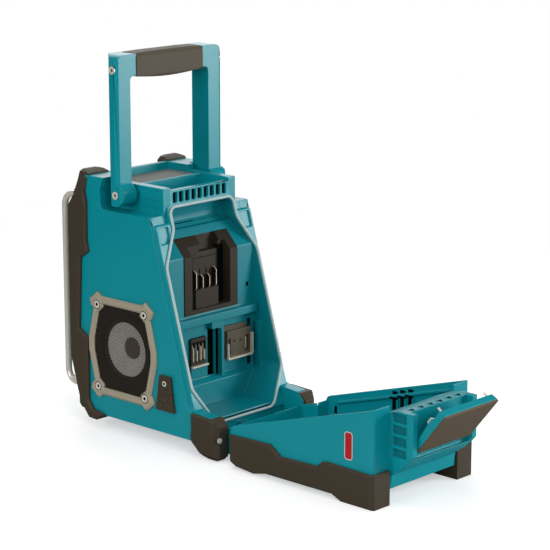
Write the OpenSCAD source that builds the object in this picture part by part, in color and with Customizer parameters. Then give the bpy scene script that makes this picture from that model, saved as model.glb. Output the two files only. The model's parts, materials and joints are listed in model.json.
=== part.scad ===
// Jobsite radio with a folding carry handle and a hinged battery cover that lies open behind it.
// Millimetres. +Z is up, -Y is the side with the display, +Y is the side of the open cover.
// X = 0 is the middle. Z = 0 is the surface that the radio stands on.

/* [Housing] */
// Width over the bumpers, the feet and the handle
overall_w = 164; // [161:0.5:167]
// Place of the front face
front_y = -232; // [-236:0.5:-230]
// Height of the housing's underside
base_z = 16; // [14:0.5:18]
// Height of the shelf in the handle pockets
shelf_z = 255; // [254.6:0.1:256]
// Thickness of the moulded walls
wall = 3; // [2:0.1:3.5]
// Height of the front deck
deck_z = 290.5; // [289:0.5:291.5]
// Height at which the front face starts to lean back
brow_z = 250; // [246:1:252]
// How far the brow leans back at the deck
brow_lean = 16; // [14:0.5:17]
// Back of the front posts, where the handle pockets begin
post_back_y = -186; // [-187:0.5:-185.6]
// Height of the top block between the handle arms
block_z = 284.5; // [283.5:0.5:286]
// Width of a handle pocket beside the top block
pocket_w = 21; // [20:0.1:22]
// Bevel along the bottom of the front and sides
base_bevel = 7; // [3:0.5:9]
// Thickness of the front plate
front_t = 4; // [3:0.1:5]

/* [Sealing face] */
// Lean of the sealing face, in degrees from upright
seal_lean = 16.2; // [15.8:0.1:16.6]
// Height of the seal's top line
seal_top_z = 263; // [262:0.5:264]
// Place of the sealing face at the seal's top line
seal_top_y = -110.5; // [-111:0.5:-110]
// Height of the seal's bottom line
seal_bottom_z = 31; // [30.8:0.1:32]
// Distance of the seal's top corners from the top block's sides
seal_top_in = 6.5; // [6:0.1:8]
// Distance of the seal's sides from the side walls
seal_side_in = 5.5; // [5.2:0.1:6]
// Distance of the seal's bottom corners from the side walls
seal_bottom_in = 31; // [30:0.5:33]
// Width of the seal's bead
seal_w = 3; // [2.4:0.1:3.4]
// Height of the seal's bead
seal_h = 2.4; // [1.8:0.1:2.6]
// Step from the sealing face down to the edge of the side walls
rim_drop = 4.5; // [3.6:0.1:5]

/* [Battery bay] */
// Place of the terminal faces
bay_face_y = -94.5; // [-96:0.5:-93]
// Thickness of the bay's walls
bay_wall = 2.4; // [2:0.1:2.6]
// Height of the bay's floor
bay_floor_z = 36; // [35:0.5:37]
// Height of the top of the upright back panel
bay_slope_z = 208; // [206:0.5:210]
// Height of the top of the sloping back panel
bay_slope_top_z = 226; // [224:0.5:228]
// Place of the top of the sloping back panel
bay_slope_top_y = -112; // [-113:0.5:-111]
// Height of the lower edge of the finger cove
cove_z = 234; // [232:0.5:235]
// Deepest place of the finger cove
cove_y = -126; // [-127:0.5:-124]
// How far the lowest panel stands out
bulge_d = 6; // [4:0.5:8]
// Height of the top of the lowest panel
bulge_z = 66; // [62:1:70]
// Play between the bay and the housing
bay_gap = 0.2; // [0.15:0.05:0.3]

/* [Terminals] */
// Width of the large terminal block
main_w = 83.6; // [80:0.5:86]
// Height of the large terminal block's lower edge
main_z = 141; // [139:0.5:143]
// Wall of the large terminal block
main_wall = 12; // [9:0.5:14]
// Depth of the pocket in the large terminal block
main_pocket = 12; // [9:0.5:14]
// Thickness of a contact blade
blade_t = 1.2; // [0.8:0.1:1.6]
// Spacing of the contact blades
blade_pitch = 10.3; // [9:0.1:11]
// Height of a contact blade in the large block
blade_h = 22; // [18:0.5:24]
// Width of the narrow terminal
narrow_w = 24; // [22:0.5:25]
// Place of the narrow terminal's middle
narrow_x = 22.7; // [22:0.1:23.4]
// Width of the wide terminal
wide_w = 38; // [36:0.5:39]
// Place of the wide terminal's middle
wide_x = -37.5; // [-38:0.1:-37]
// Lower edge of the small terminals
small_z = 83; // [82:0.5:85]
// Height of the small terminals
small_h = 31; // [29:0.5:33]
// How deep the small terminals reach behind the panel
small_d = 14; // [12:0.5:16]
// How far the rail above the small terminals stands out
ledge_d = 7; // [5:0.5:8]
// Thickness of that rail
ledge_h = 9; // [7:0.5:10]

/* [Top] */
// Length of the dish in the deck
dish_len = 52; // [48:0.5:53]
// Distance of the dish from the top block's sides
dish_in = 10; // [9:0.5:12]
// Height of the dish's floor
dish_z = 280.5; // [280:0.1:281.5]
// Thickness of the mat in the dish
mat_t = 1.5; // [1:0.1:1.8]
// Front edge of the trough behind the comb
trough_y = -154; // [-156:0.5:-152]
// Height of the trough's floor
trough_z = 266; // [265.5:0.1:267]
// Distance of the trough from the top block's sides
trough_in = 11; // [10:0.5:12]
// Thickness of the comb wall
comb_t = 7; // [6:0.1:7.4]
// Height of the comb wall
comb_z = 281; // [280:0.1:281.5]
// Number of slots in the comb
comb_slots = 9; // [7:1:10]
// Width of a slot
slot_w = 6; // [5:0.1:6.5]
// Lower edge of the slots
slot_z = 267; // [266.6:0.1:268]
// Upper edge of the slots
slot_top_z = 278.4; // [276:0.1:278.8]

/* [Bumpers and feet] */
// How far the bumpers stand out from the flat side walls
bumper_t = 5; // [4:0.1:6]
// Front of the bumpers
bumper_y = -242.5; // [-244:0.5:-241]
// Width of a bumper's wrap over the front
wrap_w = 32; // [30:0.5:33]
// Height of the bumper's hook over the deck
hook_t = 5.3; // [4:0.1:6]
// Width of a bumper's hook over the deck
hook_w = 38; // [32:0.5:40]
// Play between the housing and what is screwed to it
skin_gap = 0.2; // [0.15:0.05:0.3]
// Width of a rear foot
foot_w = 19.5; // [19.2:0.1:19.7]
// Front edge of the rear feet
foot_y = -47.5; // [-49:0.5:-46]
// Height of the rear feet
foot_z = 48.7; // [48:0.1:49]
// Back of the rear feet
foot_back_y = -8.5; // [-9:0.1:-8]
// Thickness of a foot's back plate
foot_t = 4; // [3:0.1:5]
// Diameter of a foot screw's head
foot_screw_d = 6.4; // [5:0.1:7]

/* [Guard pipes] */
// Diameter of a guard pipe
pipe_d = 7.5; // [6.5:0.1:8.5]
// Front of the guard pipes
pipe_y = -274; // [-276:0.5:-271]
// Distance of each guard pipe from the bumper's side
pipe_in = 22.5; // [21.5:0.5:24.5]
// Height of the guard pipe's upper end
pipe_top_z = 265; // [262:0.5:267]
// Height of the guard pipe's lower end
pipe_low_z = 36; // [35:0.5:40]
// Radius of the guard pipe's bends
pipe_bend = 14; // [12:0.5:15]

/* [Speakers] */
// Place of the speakers along the housing
speaker_y = -157.5; // [-158:0.5:-157]
// Height of the speakers' middle
speaker_z = 98.4; // [98:0.1:100]
// Half length of the speaker frame at mid height
frame_half = 55; // [54:0.5:56]
// Half length of the speaker frame at its top and bottom
frame_top_half = 34; // [32:0.5:35]
// Height of the speaker frame
frame_h = 115; // [112:0.5:117]
// Width of the speaker frame's bars
frame_bar = 9; // [8:0.5:10]
// How far the speaker frame stands off the side wall
frame_t = 4.2; // [3.6:0.1:4.6]
// Half spacing of the frame bolts along the housing
bolt_y = 38; // [37:0.5:39]
// Half spacing of the frame bolts in height
bolt_z = 47.5; // [46.5:0.5:48.5]
// Half width of a corner lug
lug_w = 10; // [9:0.1:10.6]
// How far a corner lug reaches out from its bolt
lug_out = 12; // [11:0.1:12.6]
// Diameter of a frame bolt's head
bolt_head_d = 8.6; // [7:0.1:9.4]
// Diameter of a frame bolt's shank
bolt_d = 4; // [3.4:0.1:4.4]
// Radius of the speaker's opening
mouth_r = 37; // [35:0.5:38]
// Thickness of the grille
grille_t = 1.2; // [0.8:0.1:1.6]
// Spacing of the holes in the grille
grille_pitch = 5.4; // [5:0.1:6]
// Width of a bar between the holes
grille_bar = 1.6; // [1.2:0.1:2]
// Depth of a speaker's basket
basket_d = 26; // [22:0.5:28]
// Diameter of a speaker's magnet
magnet_d = 56; // [50:0.5:60]
// Radius of a speaker's dust cap
cap_r = 12.5; // [11:0.5:14]

/* [Socket cover] */
// Place of the socket cover along the housing
port_y = -88; // [-88.5:0.5:-87.5]
// Lower edge of the socket cover
port_z = 42.8; // [42:0.1:44]
// Height of the socket cover
port_h = 40; // [38:0.5:41]
// Height of the screwed tab at the top of the cover
port_tab_h = 16; // [15:0.5:17]
// Width of the socket cover at its top
port_top_w = 16.6; // [16:0.1:18]
// Width of the socket cover at its bottom
port_low_w = 28; // [26:0.5:29]
// Thickness of the socket cover
port_t = 4; // [3:0.1:4.4]
// Diameter of the socket for a plug
jack_d = 3.6; // [3:0.1:4]

/* [Front controls] */
// Width of the display
lens_w = 84; // [78:1:88]
// Height of the display
lens_h = 40; // [36:1:44]
// Lower edge of the display
lens_z = 196; // [192:1:200]
// Number of buttons in the row
button_n = 5; // [4:1:5]
// Gap between the row of buttons and the bumpers' wraps
button_in = 2.5; // [1.5:0.1:4]
// Width of a button
button_w = 15; // [12:0.5:16]
// Height of a button
button_h = 9; // [7:0.5:10]
// Height of the row of buttons
button_z = 178; // [175:1:180]
// Travel of a button
button_travel = 1.2; // [0.8:0.1:1.5]
// Diameter of the tuning knob
knob_d = 46; // [40:1:50]
// Height of the tuning knob's middle
knob_z = 128; // [124:1:132]
// How far the tuning knob stands out
knob_t = 15; // [12:0.5:17]

/* [Handle] */
// Height of the handle's pivots
pivot_z = 274.3; // [274:0.1:274.8]
// Place of the handle's pivots
pivot_y = -161.9; // [-163:0.1:-161]
// Top of the handle
handle_z = 428; // [424:0.5:432]
// Width of a handle arm
arm_w = 22; // [21.4:0.1:23]
// Front of the arms
arm_front_y = -184; // [-184.5:0.1:-183]
// Back of the arms
arm_back_y = -157.5; // [-158:0.1:-157]
// Depth of the handle's bar
bar_h = 24; // [20:0.5:25]
// Radius of the handle's outer top corners
handle_r = 12; // [8:0.5:14]
// Radius of the arms' round lower ends
boss_r = 12.6; // [12:0.1:13]
// Distance of the grip's ends from the handle's sides
grip_in = 31; // [30.5:0.5:36]
// How much the grip sags in its middle
grip_sag = 3.4; // [2:0.1:5]
// Diameter of the pivot bolts
pivot_d = 8; // [7:0.1:9]
// Width of the bar inside the grip
core_w = 13; // [11:0.5:15]

/* [Cover] */
// How far the cover's side walls stand out past the housing's
cover_over = 1; // [0.8:0.1:1.5]
// Place of the cover's hinge
hinge_y = -23.5; // [-24:0.1:-23.2]
// Height of the cover's hinge
hinge_z = 17; // [16.8:0.1:17.4]
// Radius of the hinge knuckles
knuckle_r = 6; // [5:0.1:6.5]
// Diameter of the hinge pin
hinge_pin_d = 5; // [4:0.1:6]
// Gap between the cover's narrow end and a foot
tongue_gap = 2; // [1.5:0.1:2.5]
// Place of the cover's narrow end
tongue_y = -15; // [-15.4:0.1:-14.6]
// Place where the cover's side walls begin
side_y = 10.5; // [10:0.1:11]
// Height of the cover's underside
cover_z = 6; // [5:0.1:6.5]
// Radius of the cover's far corners
cover_r = 5; // [4:0.5:7]
// How far the bumpers stand out from the cover
pad_out = 4; // [3.5:0.1:4.5]
// Gap between the latch block and the cover's bumpers
latch_in = 3; // [2:0.1:4.5]
// Back of the latch block
latch_block_y = 240; // [239:0.5:241]
// Height of the latch block
latch_block_z = 100; // [99:0.5:100.6]
// Width of a cover bumper's inward end
pad_w = 27; // [26:0.5:28]

/* [Latch] */
// Distance of the lever's ends from the latch block's sides
lever_in = 9; // [8.4:0.1:10.5]
// Length of the latch lever's pad
lever_len = 59.4; // [58.6:0.1:60]
// Tilt of the open lever
lever_tilt = 51.3; // [51:0.1:52]
// Place of the lever's low edge
lever_y = 237.3; // [237:0.1:238]
// Height of the lever's low edge
lever_z = 55.7; // [55:0.1:56.4]
// Thickness of the lever's rubber pad
pad_t = 2.2; // [1.6:0.1:2.6]
// Diameter of the lever's pin
latch_pin_d = 3; // [2.4:0.1:3.4]
// Distance of the steel hooks from the lever's ends
hook_in = 7; // [5:0.5:13]

/* [Fits] */
// Play of a shaft or pin in its bore, on the radius
bore_fit = 0.05; // [0.03:0.01:0.08]
// Play beside parts that move
side_gap = 0.4; // [0.3:0.05:0.5]

/* [Hidden] */
$fn = 64;
out_half = overall_w / 2;
half_w = out_half - bumper_t;
block_half = half_w - pocket_w;
seal_top_half = block_half - seal_top_in;
seal_side_half = half_w - seal_side_in;
seal_bottom_half = half_w - seal_bottom_in;
dish_half = block_half - dish_in;
trough_half = block_half - trough_in;
wrap_half = out_half - wrap_w;
hook_half = out_half - hook_w;
foot_in = out_half - foot_w;
pipe_x = out_half - pipe_in;
arm_in = out_half - arm_w;
grip_half = out_half - grip_in;
cover_half = half_w + cover_over;
tongue_half = foot_in - tongue_gap;
pad_half = out_half - pad_w;
latch_block_half = pad_half - latch_in;
lever_half = latch_block_half - lever_in;
hook_x = lever_half - hook_in;
skin = half_w + skin_gap;
lean = tan(seal_lean);
overlap = 0.5;
far = 400;

// Place of the sealing face at a height, and of the side walls' edge.
function seal_y(z) = seal_top_y + (seal_top_z - z) * lean;
function rim_y(z) = seal_y(z) - rim_drop;
// Height of the open cover's rim at a place along it: the rim meets the side walls' edge when closed.
function rim_z(y) = hinge_y + hinge_z - rim_y(y - hinge_y + hinge_z);

// Rounded outlines. A corner is [x, y, radius]; outlines run counter-clockwise.
function unit(v) = v / norm(v);
function flat(v) = [v[0], v[1]];
function left_of(v) = [-v[1], v[0]];
function turn_dir(a, b, c) = let (u = unit(b - a), w = unit(c - b)) u[0] * w[1] - u[1] * w[0];
function inset_corner(a, b, c, d) =
    let (n1 = left_of(unit(b - a)), n2 = left_of(unit(c - b)))
    b + d * (n1 + n2) / (1 + n1 * n2);
function inset_path(path, d) = [
    for (i = [0 : len(path) - 1])
        let (n = len(path), a = flat(path[(i + n - 1) % n]), b = flat(path[i]), c = flat(path[(i + 1) % n]))
        let (p = inset_corner(a, b, c, d), r = path[i][2])
        [p[0], p[1], r == 0 ? 0 : max(r - d * sign(turn_dir(a, b, c)), 0)]
];
function corner_points(a, b, c, r, steps) =
    r < 0.01 ? [b] :
    let (u = unit(a - b), w = unit(c - b), half = acos(u * w) / 2)
    let (side = unit(u + w), middle = b + side * r / sin(half))
    let (p = b + u * r / tan(half) - middle, s = sign(turn_dir(a, b, c)), sweep = 180 - 2 * half)
    [for (i = [0 : steps]) let (t = s * sweep * i / steps) middle + [p[0] * cos(t) - p[1] * sin(t),
        p[0] * sin(t) + p[1] * cos(t)]];
function rounded(path, steps = 5) = [
    for (i = [0 : len(path) - 1])
        let (n = len(path))
        each corner_points(flat(path[(i + n - 1) % n]), flat(path[i]), flat(path[(i + 1) % n]), path[i][2],
            steps)
];
// A symmetric outline from its right half, listed from the bottom up.
function mirrored(half) = concat(half, [for (i = [len(half) - 1 : -1 : 0]) [-half[i][0], half[i][1],
    half[i][2]]]);
function stretched(points, f) = [for (p = points) [p[0], p[1] * f]];

// Extrusions along the three axes. Along X the outline is (y, z), along Y it is (x, z).
module along_x(x0, x1) { translate([x0, 0, 0]) rotate([90, 0, 90]) linear_extrude(x1 - x0) children(); }
module along_y(y0, y1) { translate([0, y1, 0]) rotate([90, 0, 0]) linear_extrude(y1 - y0) children(); }
module along_z(z0, z1) { translate([0, 0, z0]) linear_extrude(z1 - z0) children(); }
module pin_x(x0, x1, y, z, r) { translate([x0, y, z]) rotate([0, 90, 0]) cylinder(h = x1 - x0, r = r); }
module pin_y(y0, y1, x, z, r) { translate([x, y0, z]) rotate([-90, 0, 0]) cylinder(h = y1 - y0, r = r); }
module block(x0, x1, y0, y1, z0, z1) { translate([x0, y0, z0]) cube([x1 - x0, y1 - y0, z1 - z0]); }
module both_sides() { children(); mirror([1, 0, 0]) children(); }

// Colours
teal = [0.01, 0.50, 0.56];
deep_teal = [0.01, 0.36, 0.41];
rubber = [0.24, 0.22, 0.17];
steel = [0.78, 0.77, 0.74];
dark = [0.09, 0.09, 0.08];
board_green = [0.10, 0.32, 0.16];

// Housing
block_back_y = seal_y(seal_top_z) - 1.5;
knee_z = brow_z + 21;
knee_y = front_y + brow_lean * 0.64;
// Front face of the housing at a height.
function brow_y(z) = z < brow_z ? front_y
    : z < knee_z ? front_y + (z - brow_z) * (knee_y - front_y) / (knee_z - brow_z)
    : knee_y + (z - knee_z) * (front_y + brow_lean - knee_y) / (deck_z - knee_z);
front_in_y = front_y + front_t;
tongue_room = 0.5;
step_y = rim_y(seal_bottom_z) - tongue_room;
lower_lip_z = hinge_z + (tongue_y + wall - hinge_y) + tongue_room;
tail_half = foot_in;
tail_rise = 1.5;
core_in = 0.3;
tail_z = foot_z + tail_rise;
tail_back_y = foot_back_y - foot_t - skin_gap;
tail_r = 8;
flange_w = half_w - wall;
flange_r = cover_r - wall - 0.5;
flange_top_z = 246.3;
flange_neck = seal_top_half + 2;
flange_neck_z = seal_top_z + 3;
dish_y = front_y + brow_lean + front_t + 3;
dish_back_y = dish_y + dish_len;
comb_y = block_back_y - comb_t;
slot_pitch = (2 * trough_half - 4) / comb_slots;
inner_top_z = trough_z - wall;

// Side outline of the lower body, set back by d. Its rim stays core_in inside the side walls.
function body_side(d) = [
    [front_in_y, base_z + base_bevel + d],
    [front_in_y + base_bevel, base_z + d],
    [step_y - d, base_z + d],
    [step_y - d, lower_lip_z + d],
    [rim_y(lower_lip_z) - d * 1.1 - core_in, lower_lip_z + d],
    [rim_y(shelf_z) - d * 1.1 - core_in, shelf_z - d],
    [front_in_y + brow_lean, shelf_z - d],
    [front_in_y, brow_z - d]
];
// Edge of the tail walls from the underside round to the shelf, set out by d.
function tail_side(d) = [
    [tail_back_y + d, base_z - d, 0], [tail_back_y + d, tail_z - 10, 0],
    [tail_back_y - 9, tail_z - 2.4 + d, 0], [rim_y(tail_z) + d, tail_z + d, tail_r],
    [rim_y(shelf_z) + d, shelf_z, 0]
];
// Flange that carries the seal: a slab on the rim plane, set back by d.
function flange_half(d) = [
    [flange_w - d, lower_lip_z + d, 0], [flange_w - d, flange_top_z - d, flange_r - d],
    [flange_neck - d, flange_top_z - d, 0], [flange_neck - d, flange_neck_z - d, 7 - d]
];
module flange_slab(d, back, front) {
    intersection() {
        along_y(block_back_y - 20, 0) polygon(rounded(mirrored(flange_half(d))));
        along_x(-half_w, half_w) polygon([
            [seal_y(0) - back, 0], [seal_y(0) - front, 0], [seal_y(far) - front, far],
            [seal_y(far) - back, far]
        ]);
    }
}

module housing_core() {
    // Lower body between the side walls, up to the sealing face.
    along_x(-half_w + wall - overlap, half_w - wall + overlap) polygon(body_side(0));
    flange_slab(0, rim_drop + 2 * overlap, 0);
    // Side walls, whose edge stays a step below the sealing face.
    both_sides()
    along_x(tail_half, half_w)
    polygon(rounded(concat(
        [[front_in_y, brow_z, 0], [front_in_y, base_z + base_bevel, 0], [front_in_y + base_bevel, base_z, 0]],
        tail_side(0), [[front_in_y + brow_lean, shelf_z, 0]])));
    // Front part, up to the deck.
    along_x(-half_w, half_w) polygon([
        [front_in_y, brow_z - wall], [post_back_y, brow_z - wall], [post_back_y, deck_z],
        [brow_y(deck_z) + front_t, deck_z], [knee_y + front_t, knee_z], [front_in_y, brow_z]
    ]);
    // Top block between the handle arms.
    block(-block_half, block_half, post_back_y - overlap, post_back_y + 8, shelf_z - wall, deck_z);
    block(-block_half, block_half, post_back_y, block_back_y, shelf_z - wall, block_z);
}

// Front face of the handle pocket leans forward at mid height.
module pocket_lean() {
    both_sides()
    along_x(block_half, half_w + 1)
    polygon([
        [post_back_y + 1, shelf_z], [post_back_y - 2, shelf_z], [post_back_y - 5.5, shelf_z + 3],
        [post_back_y - 7, shelf_z + 20], [post_back_y - 1, deck_z - 1], [post_back_y + 1, deck_z - 1]
    ]);
}

module housing_void() {
    along_x(-half_w + wall, half_w - wall) polygon(body_side(wall));
    flange_slab(wall, rim_drop + 2 * wall, wall * 1.05);
    // Room under the deck and the top block.
    block(-half_w + wall, half_w - wall, front_in_y + brow_lean, post_back_y - wall - 7, shelf_z - wall - 1,
        dish_z - wall);
    block(-block_half + wall, block_half - wall, post_back_y - 12, trough_y - wall, shelf_z - wall - 1,
        dish_z - wall);
    block(-block_half + wall, block_half - wall, post_back_y - 12, block_back_y - wall, shelf_z - wall - 1,
        inner_top_z);
    // The whole front is open: the front plate closes it.
    along_x(-half_w + wall, half_w - wall) polygon([
        [front_in_y - 1, base_z + base_bevel + wall], [front_in_y + base_bevel + 1,
            base_z + base_bevel + wall],
        [front_in_y + brow_lean, shelf_z], [front_in_y + brow_lean, dish_z - wall],
        [brow_y(dish_z - wall) + front_t - 1, dish_z - wall], [knee_y + front_t - 1, knee_z],
        [front_in_y - 1, brow_z]
    ]);
}

// Half outline of the seal's middle line, seen along Y.
seal_half_path = [
    [seal_bottom_half, seal_bottom_z, 14], [seal_side_half, 72, 16], [seal_side_half, 202, 18],
    [seal_top_half, 240, 14], [seal_top_half, seal_top_z, 9]
];
seal_path = mirrored(seal_half_path);
bay_in_path = inset_path(seal_path, seal_w / 2 + 0.6);
bay_out_path = inset_path(bay_in_path, -bay_wall);
opening_path = inset_path(bay_out_path, -bay_gap);

module main_housing() {
    color(teal)
    difference() {
        housing_core();
        housing_void();
        pocket_lean();
        // Opening for the battery bay.
        intersection() {
            along_y(block_back_y - 24, 0) polygon(rounded(opening_path));
            along_x(-half_w, half_w) polygon([
                [cove_y - 8, 0], [0, 0], [0, far], [cove_y - 8, far]
            ]);
        }
        // Dish, trough and the comb's slots.
        block(-dish_half, dish_half, dish_y, dish_back_y, dish_z, far);
        block(-trough_half, trough_half, trough_y, comb_y, trough_z, far);
        block(-trough_half, trough_half, comb_y - 1, block_back_y + 1, comb_z, far);
        for (i = [0 : comb_slots - 1])
            block((i - (comb_slots - 1) / 2) * slot_pitch - slot_w / 2,
                (i - (comb_slots - 1) / 2) * slot_pitch + slot_w / 2,
                comb_y - 1, block_back_y + 1, slot_z, slot_top_z);
        both_sides() {
            // Grooves along the sides of the top block.
            block(block_half - 1.2, block_half + 1, pivot_y + boss_r + 3, block_back_y - 5, 268.8, 270.4);
            block(block_half - 0.8, block_half + 1, pivot_y + boss_r + 3, block_back_y - 2, 280.6, 281.4);
            // Speaker mouth, bolt holes, socket recess and pivot bore.
            pin_x(half_w - wall - 1, half_w + 1, speaker_y, speaker_z, mouth_r);
            for (u = [-1, 1], v = [-1, 1])
                pin_x(half_w - wall - 1, half_w + 1, speaker_y + u * bolt_y, speaker_z + v * bolt_z,
                    bolt_d / 2 + bore_fit);
            pin_x(block_half - 9, block_half + 1, pivot_y, pivot_z, pivot_d / 2 - 1 + bore_fit);
            // Recessed pads beside the seal.
            intersection() {
                block(flange_neck + 5, seal_side_half - 0.5, seal_y(flange_top_z) - 6, seal_y(226) + 2,
                    226, flange_top_z - 2.5);
                along_x(flange_neck, half_w) polygon([
                    [seal_y(250) - 2.4, 250], [seal_y(224) - 2.4, 224], [seal_y(224) + 8, 224],
                    [seal_y(250) + 8, 250]
                ]);
            }
        }
        block(half_w - wall - 1, half_w + 1, port_y - 9, port_y + 9, port_z + 3, port_z + 20);
    }
    // Bosses that carry the pivot bolts.
    color(teal)
    both_sides()
    difference() {
        block(block_half - 10, block_half - wall, pivot_y - 7, pivot_y + 6, inner_top_z - 4, dish_z - wall);
        pin_x(block_half - 11, block_half, pivot_y, pivot_z, pivot_d / 2 - 1 + bore_fit);
    }
}

module hinge_knuckles() {
    color(teal)
    for (span = body_knuckles)
        difference() {
            union() {
                pin_x(span[0], span[1], hinge_y, hinge_z, knuckle_r);
                block(span[0], span[1], step_y, hinge_y, hinge_z - knuckle_r, hinge_z + knuckle_r);
            }
            pin_x(span[0] - 1, span[1] + 1, hinge_y, hinge_z, hinge_pin_d / 2 + bore_fit);
        }
}
knuckle_end = tongue_half - 1.5;
knuckle_in = knuckle_end - 13;
body_knuckles = [[-knuckle_end, -knuckle_in], [-7, 7], [knuckle_in, knuckle_end]];
cover_knuckles = [[side_gap - knuckle_in, -7 - side_gap], [7 + side_gap, knuckle_in - side_gap]];

rail_half = seal_side_half - 5.5;

// Battery bay: an open tub with the terminal panel at its front.
function bay_profile(d) = [
    [seal_y(bay_floor_z) + 12, bay_floor_z - d],
    [seal_y(seal_top_z) + 12, seal_top_z + 6 + d],
    [cove_y + 6 - d, seal_top_z + 6 + d],
    [cove_y - d, cove_z + 16],
    [cove_y - d, cove_z + 9],
    [cove_y + 5 - d, cove_z + 1.5],
    [bay_slope_top_y - 5 - d, cove_z + 1 - d],
    [bay_slope_top_y - d, bay_slope_top_z],
    [bay_face_y - 1 - d, bay_slope_z],
    [bay_face_y - 1 - d, bulge_z],
    [bay_face_y - 1 + bulge_d - d, bulge_z - 5],
    [bay_face_y - 1 + bulge_d - d, bay_floor_z - d]
];

module bay_fill(path, d) {
    intersection() {
        along_y(cove_y - 20, 0) polygon(rounded(path));
        along_x(-half_w, half_w) polygon(bay_profile(d));
    }
}

module battery_bay() {
    color(deep_teal)
    difference() {
        union() {
            difference() {
                intersection() {
                    bay_fill(bay_out_path, bay_wall);
                    along_x(-half_w, half_w) polygon([
                        [seal_y(0), 0], [seal_y(far), far], [-far, far], [-far, 0]
                    ]);
                }
                bay_fill(bay_in_path, 0);
            }
            // Rail over the small terminals, rib between them and ribs on the side walls.
            block(-rail_half, rail_half, bay_face_y - 2, bay_face_y + ledge_d, main_z - 2.5 - ledge_h,
                main_z - 2.5);
            block(-15.5, -6, bay_face_y - 2, bay_face_y + 4, bulge_z, main_z - 2.5 - ledge_h);
            both_sides()
            block(rail_half - 1.5, seal_side_half - 2, bay_face_y + 4.5, bay_face_y + 13, bay_floor_z, 119);
        }
        // Openings for the terminals, and guide slots beside them.
        block(-main_w / 2 - bay_gap, main_w / 2 + bay_gap, bay_slope_top_y - 30, bay_face_y + 1,
            main_z - bay_gap,
            bay_slope_z + 1);
        block(-main_w / 2 - bay_gap, main_w / 2 + bay_gap, bay_slope_top_y - 30, bay_slope_top_y + 30,
            bay_slope_z,
            bay_slope_top_z + bay_gap);
        small_opening(narrow_x, narrow_w);
        small_opening(wide_x, wide_w);
        block(-4, 6, bay_face_y - 8, bay_face_y + 1.5, bulge_z + 1, 123);
        block(32, 34.4, bay_face_y - 8, bay_face_y + 1, bulge_z + 1, small_z - 1);
        block(-18, -16, bay_face_y - 8, bay_face_y + 1, bulge_z + 1, small_z - 1);
        block(2 - rail_half, 8 - rail_half, bay_face_y - 8, bay_face_y + 1, bulge_z + 1, 121);
        pin_y(bay_face_y - 8, bay_face_y + 8, 7.4 - rail_half, 161.5, 2.6);
    }
}

module small_opening(x, w) {
    block(x - w / 2 - bay_gap, x + w / 2 + bay_gap, bay_face_y - 30, bay_face_y + 20, small_z - bay_gap,
        small_z + small_h + bay_gap);
}

// Large terminal: a block with a sloping top, a deep pocket and a plate under the blades.
main_back_y = bay_slope_top_y - 5;
main_top_z = bay_slope_top_z - 0.3;
pocket_y = bay_face_y - main_pocket;
pocket_half = main_w / 2 - main_wall;
plate_z = main_z + 26;

module main_terminal() {
    color(rubber)
    difference() {
        union() {
            difference() {
                along_x(-main_w / 2, main_w / 2) polygon([
                    [main_back_y, main_z], [bay_face_y, main_z], [bay_face_y, bay_slope_z - 1],
                    [bay_slope_top_y, main_top_z], [main_back_y, main_top_z]
                ]);
                block(-pocket_half, pocket_half, pocket_y, bay_face_y + 1, main_z + 5, main_top_z - 9);
                block(-pocket_half + 8, pocket_half - 22, main_back_y + 2, bay_face_y, main_top_z - 18,
                    far);
                block(-pocket_half, -pocket_half + 9, main_back_y + 2, bay_face_y + 1, main_z + 5,
                    main_top_z - 14);
            }
            block(-pocket_half + 15, pocket_half - 9, pocket_y - 1, bay_face_y - 4, main_z + 4, plate_z);
            block(-pocket_half + 15, pocket_half - 9, pocket_y - 1, pocket_y + 3, main_z + 4,
                main_top_z - 24);
        }
        for (i = [0 : 3])
            block(blade_x(i) - blade_t / 2 - 0.1, blade_x(i) + blade_t / 2 + 0.1, main_back_y + 2,
                bay_face_y + 1,
                plate_z, plate_z + blade_h);
    }
}
function blade_x(i) = 4.8 + (1.5 - i) * blade_pitch;

module blade(x, y0, y1, z0, h) {
    along_x(x - blade_t / 2, x + blade_t / 2)
    polygon([[y0, z0], [y1 - 2, z0], [y1, z0 + 2], [y1, z0 + h - 3], [y1 - 3, z0 + h], [y0, z0 + h]]);
}

module main_blades() {
    color(steel)
    for (i = [0 : 3])
        blade(blade_x(i), main_back_y + 2.2, bay_face_y - 3, plate_z + 0.1,
            blade_h - 0.2 - (i % 3 == 0 ? 0 : 6));
}

// Small terminals.
small_y0 = bay_face_y - small_d;
small_y1 = bay_face_y + 2;

module small_terminal(x, w, cells) {
    difference() {
        block(x - w / 2, x + w / 2, small_y0, small_y1, small_z, small_z + small_h);
        for (i = [0 : cells - 1])
            block(cell_x(x, w, cells, i) - cell_w(w, cells) / 2, cell_x(x, w, cells, i)
                + cell_w(w, cells) / 2,
                small_y0 + 3, small_y1 + 1, small_z + 4, small_z + small_h - 4);
    }
}
function cell_w(w, cells) = (w - 2.4) / cells - 1.6;
function cell_x(x, w, cells, i) = x + (i - (cells - 1) / 2) * (w - 2.4) / cells;

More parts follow.
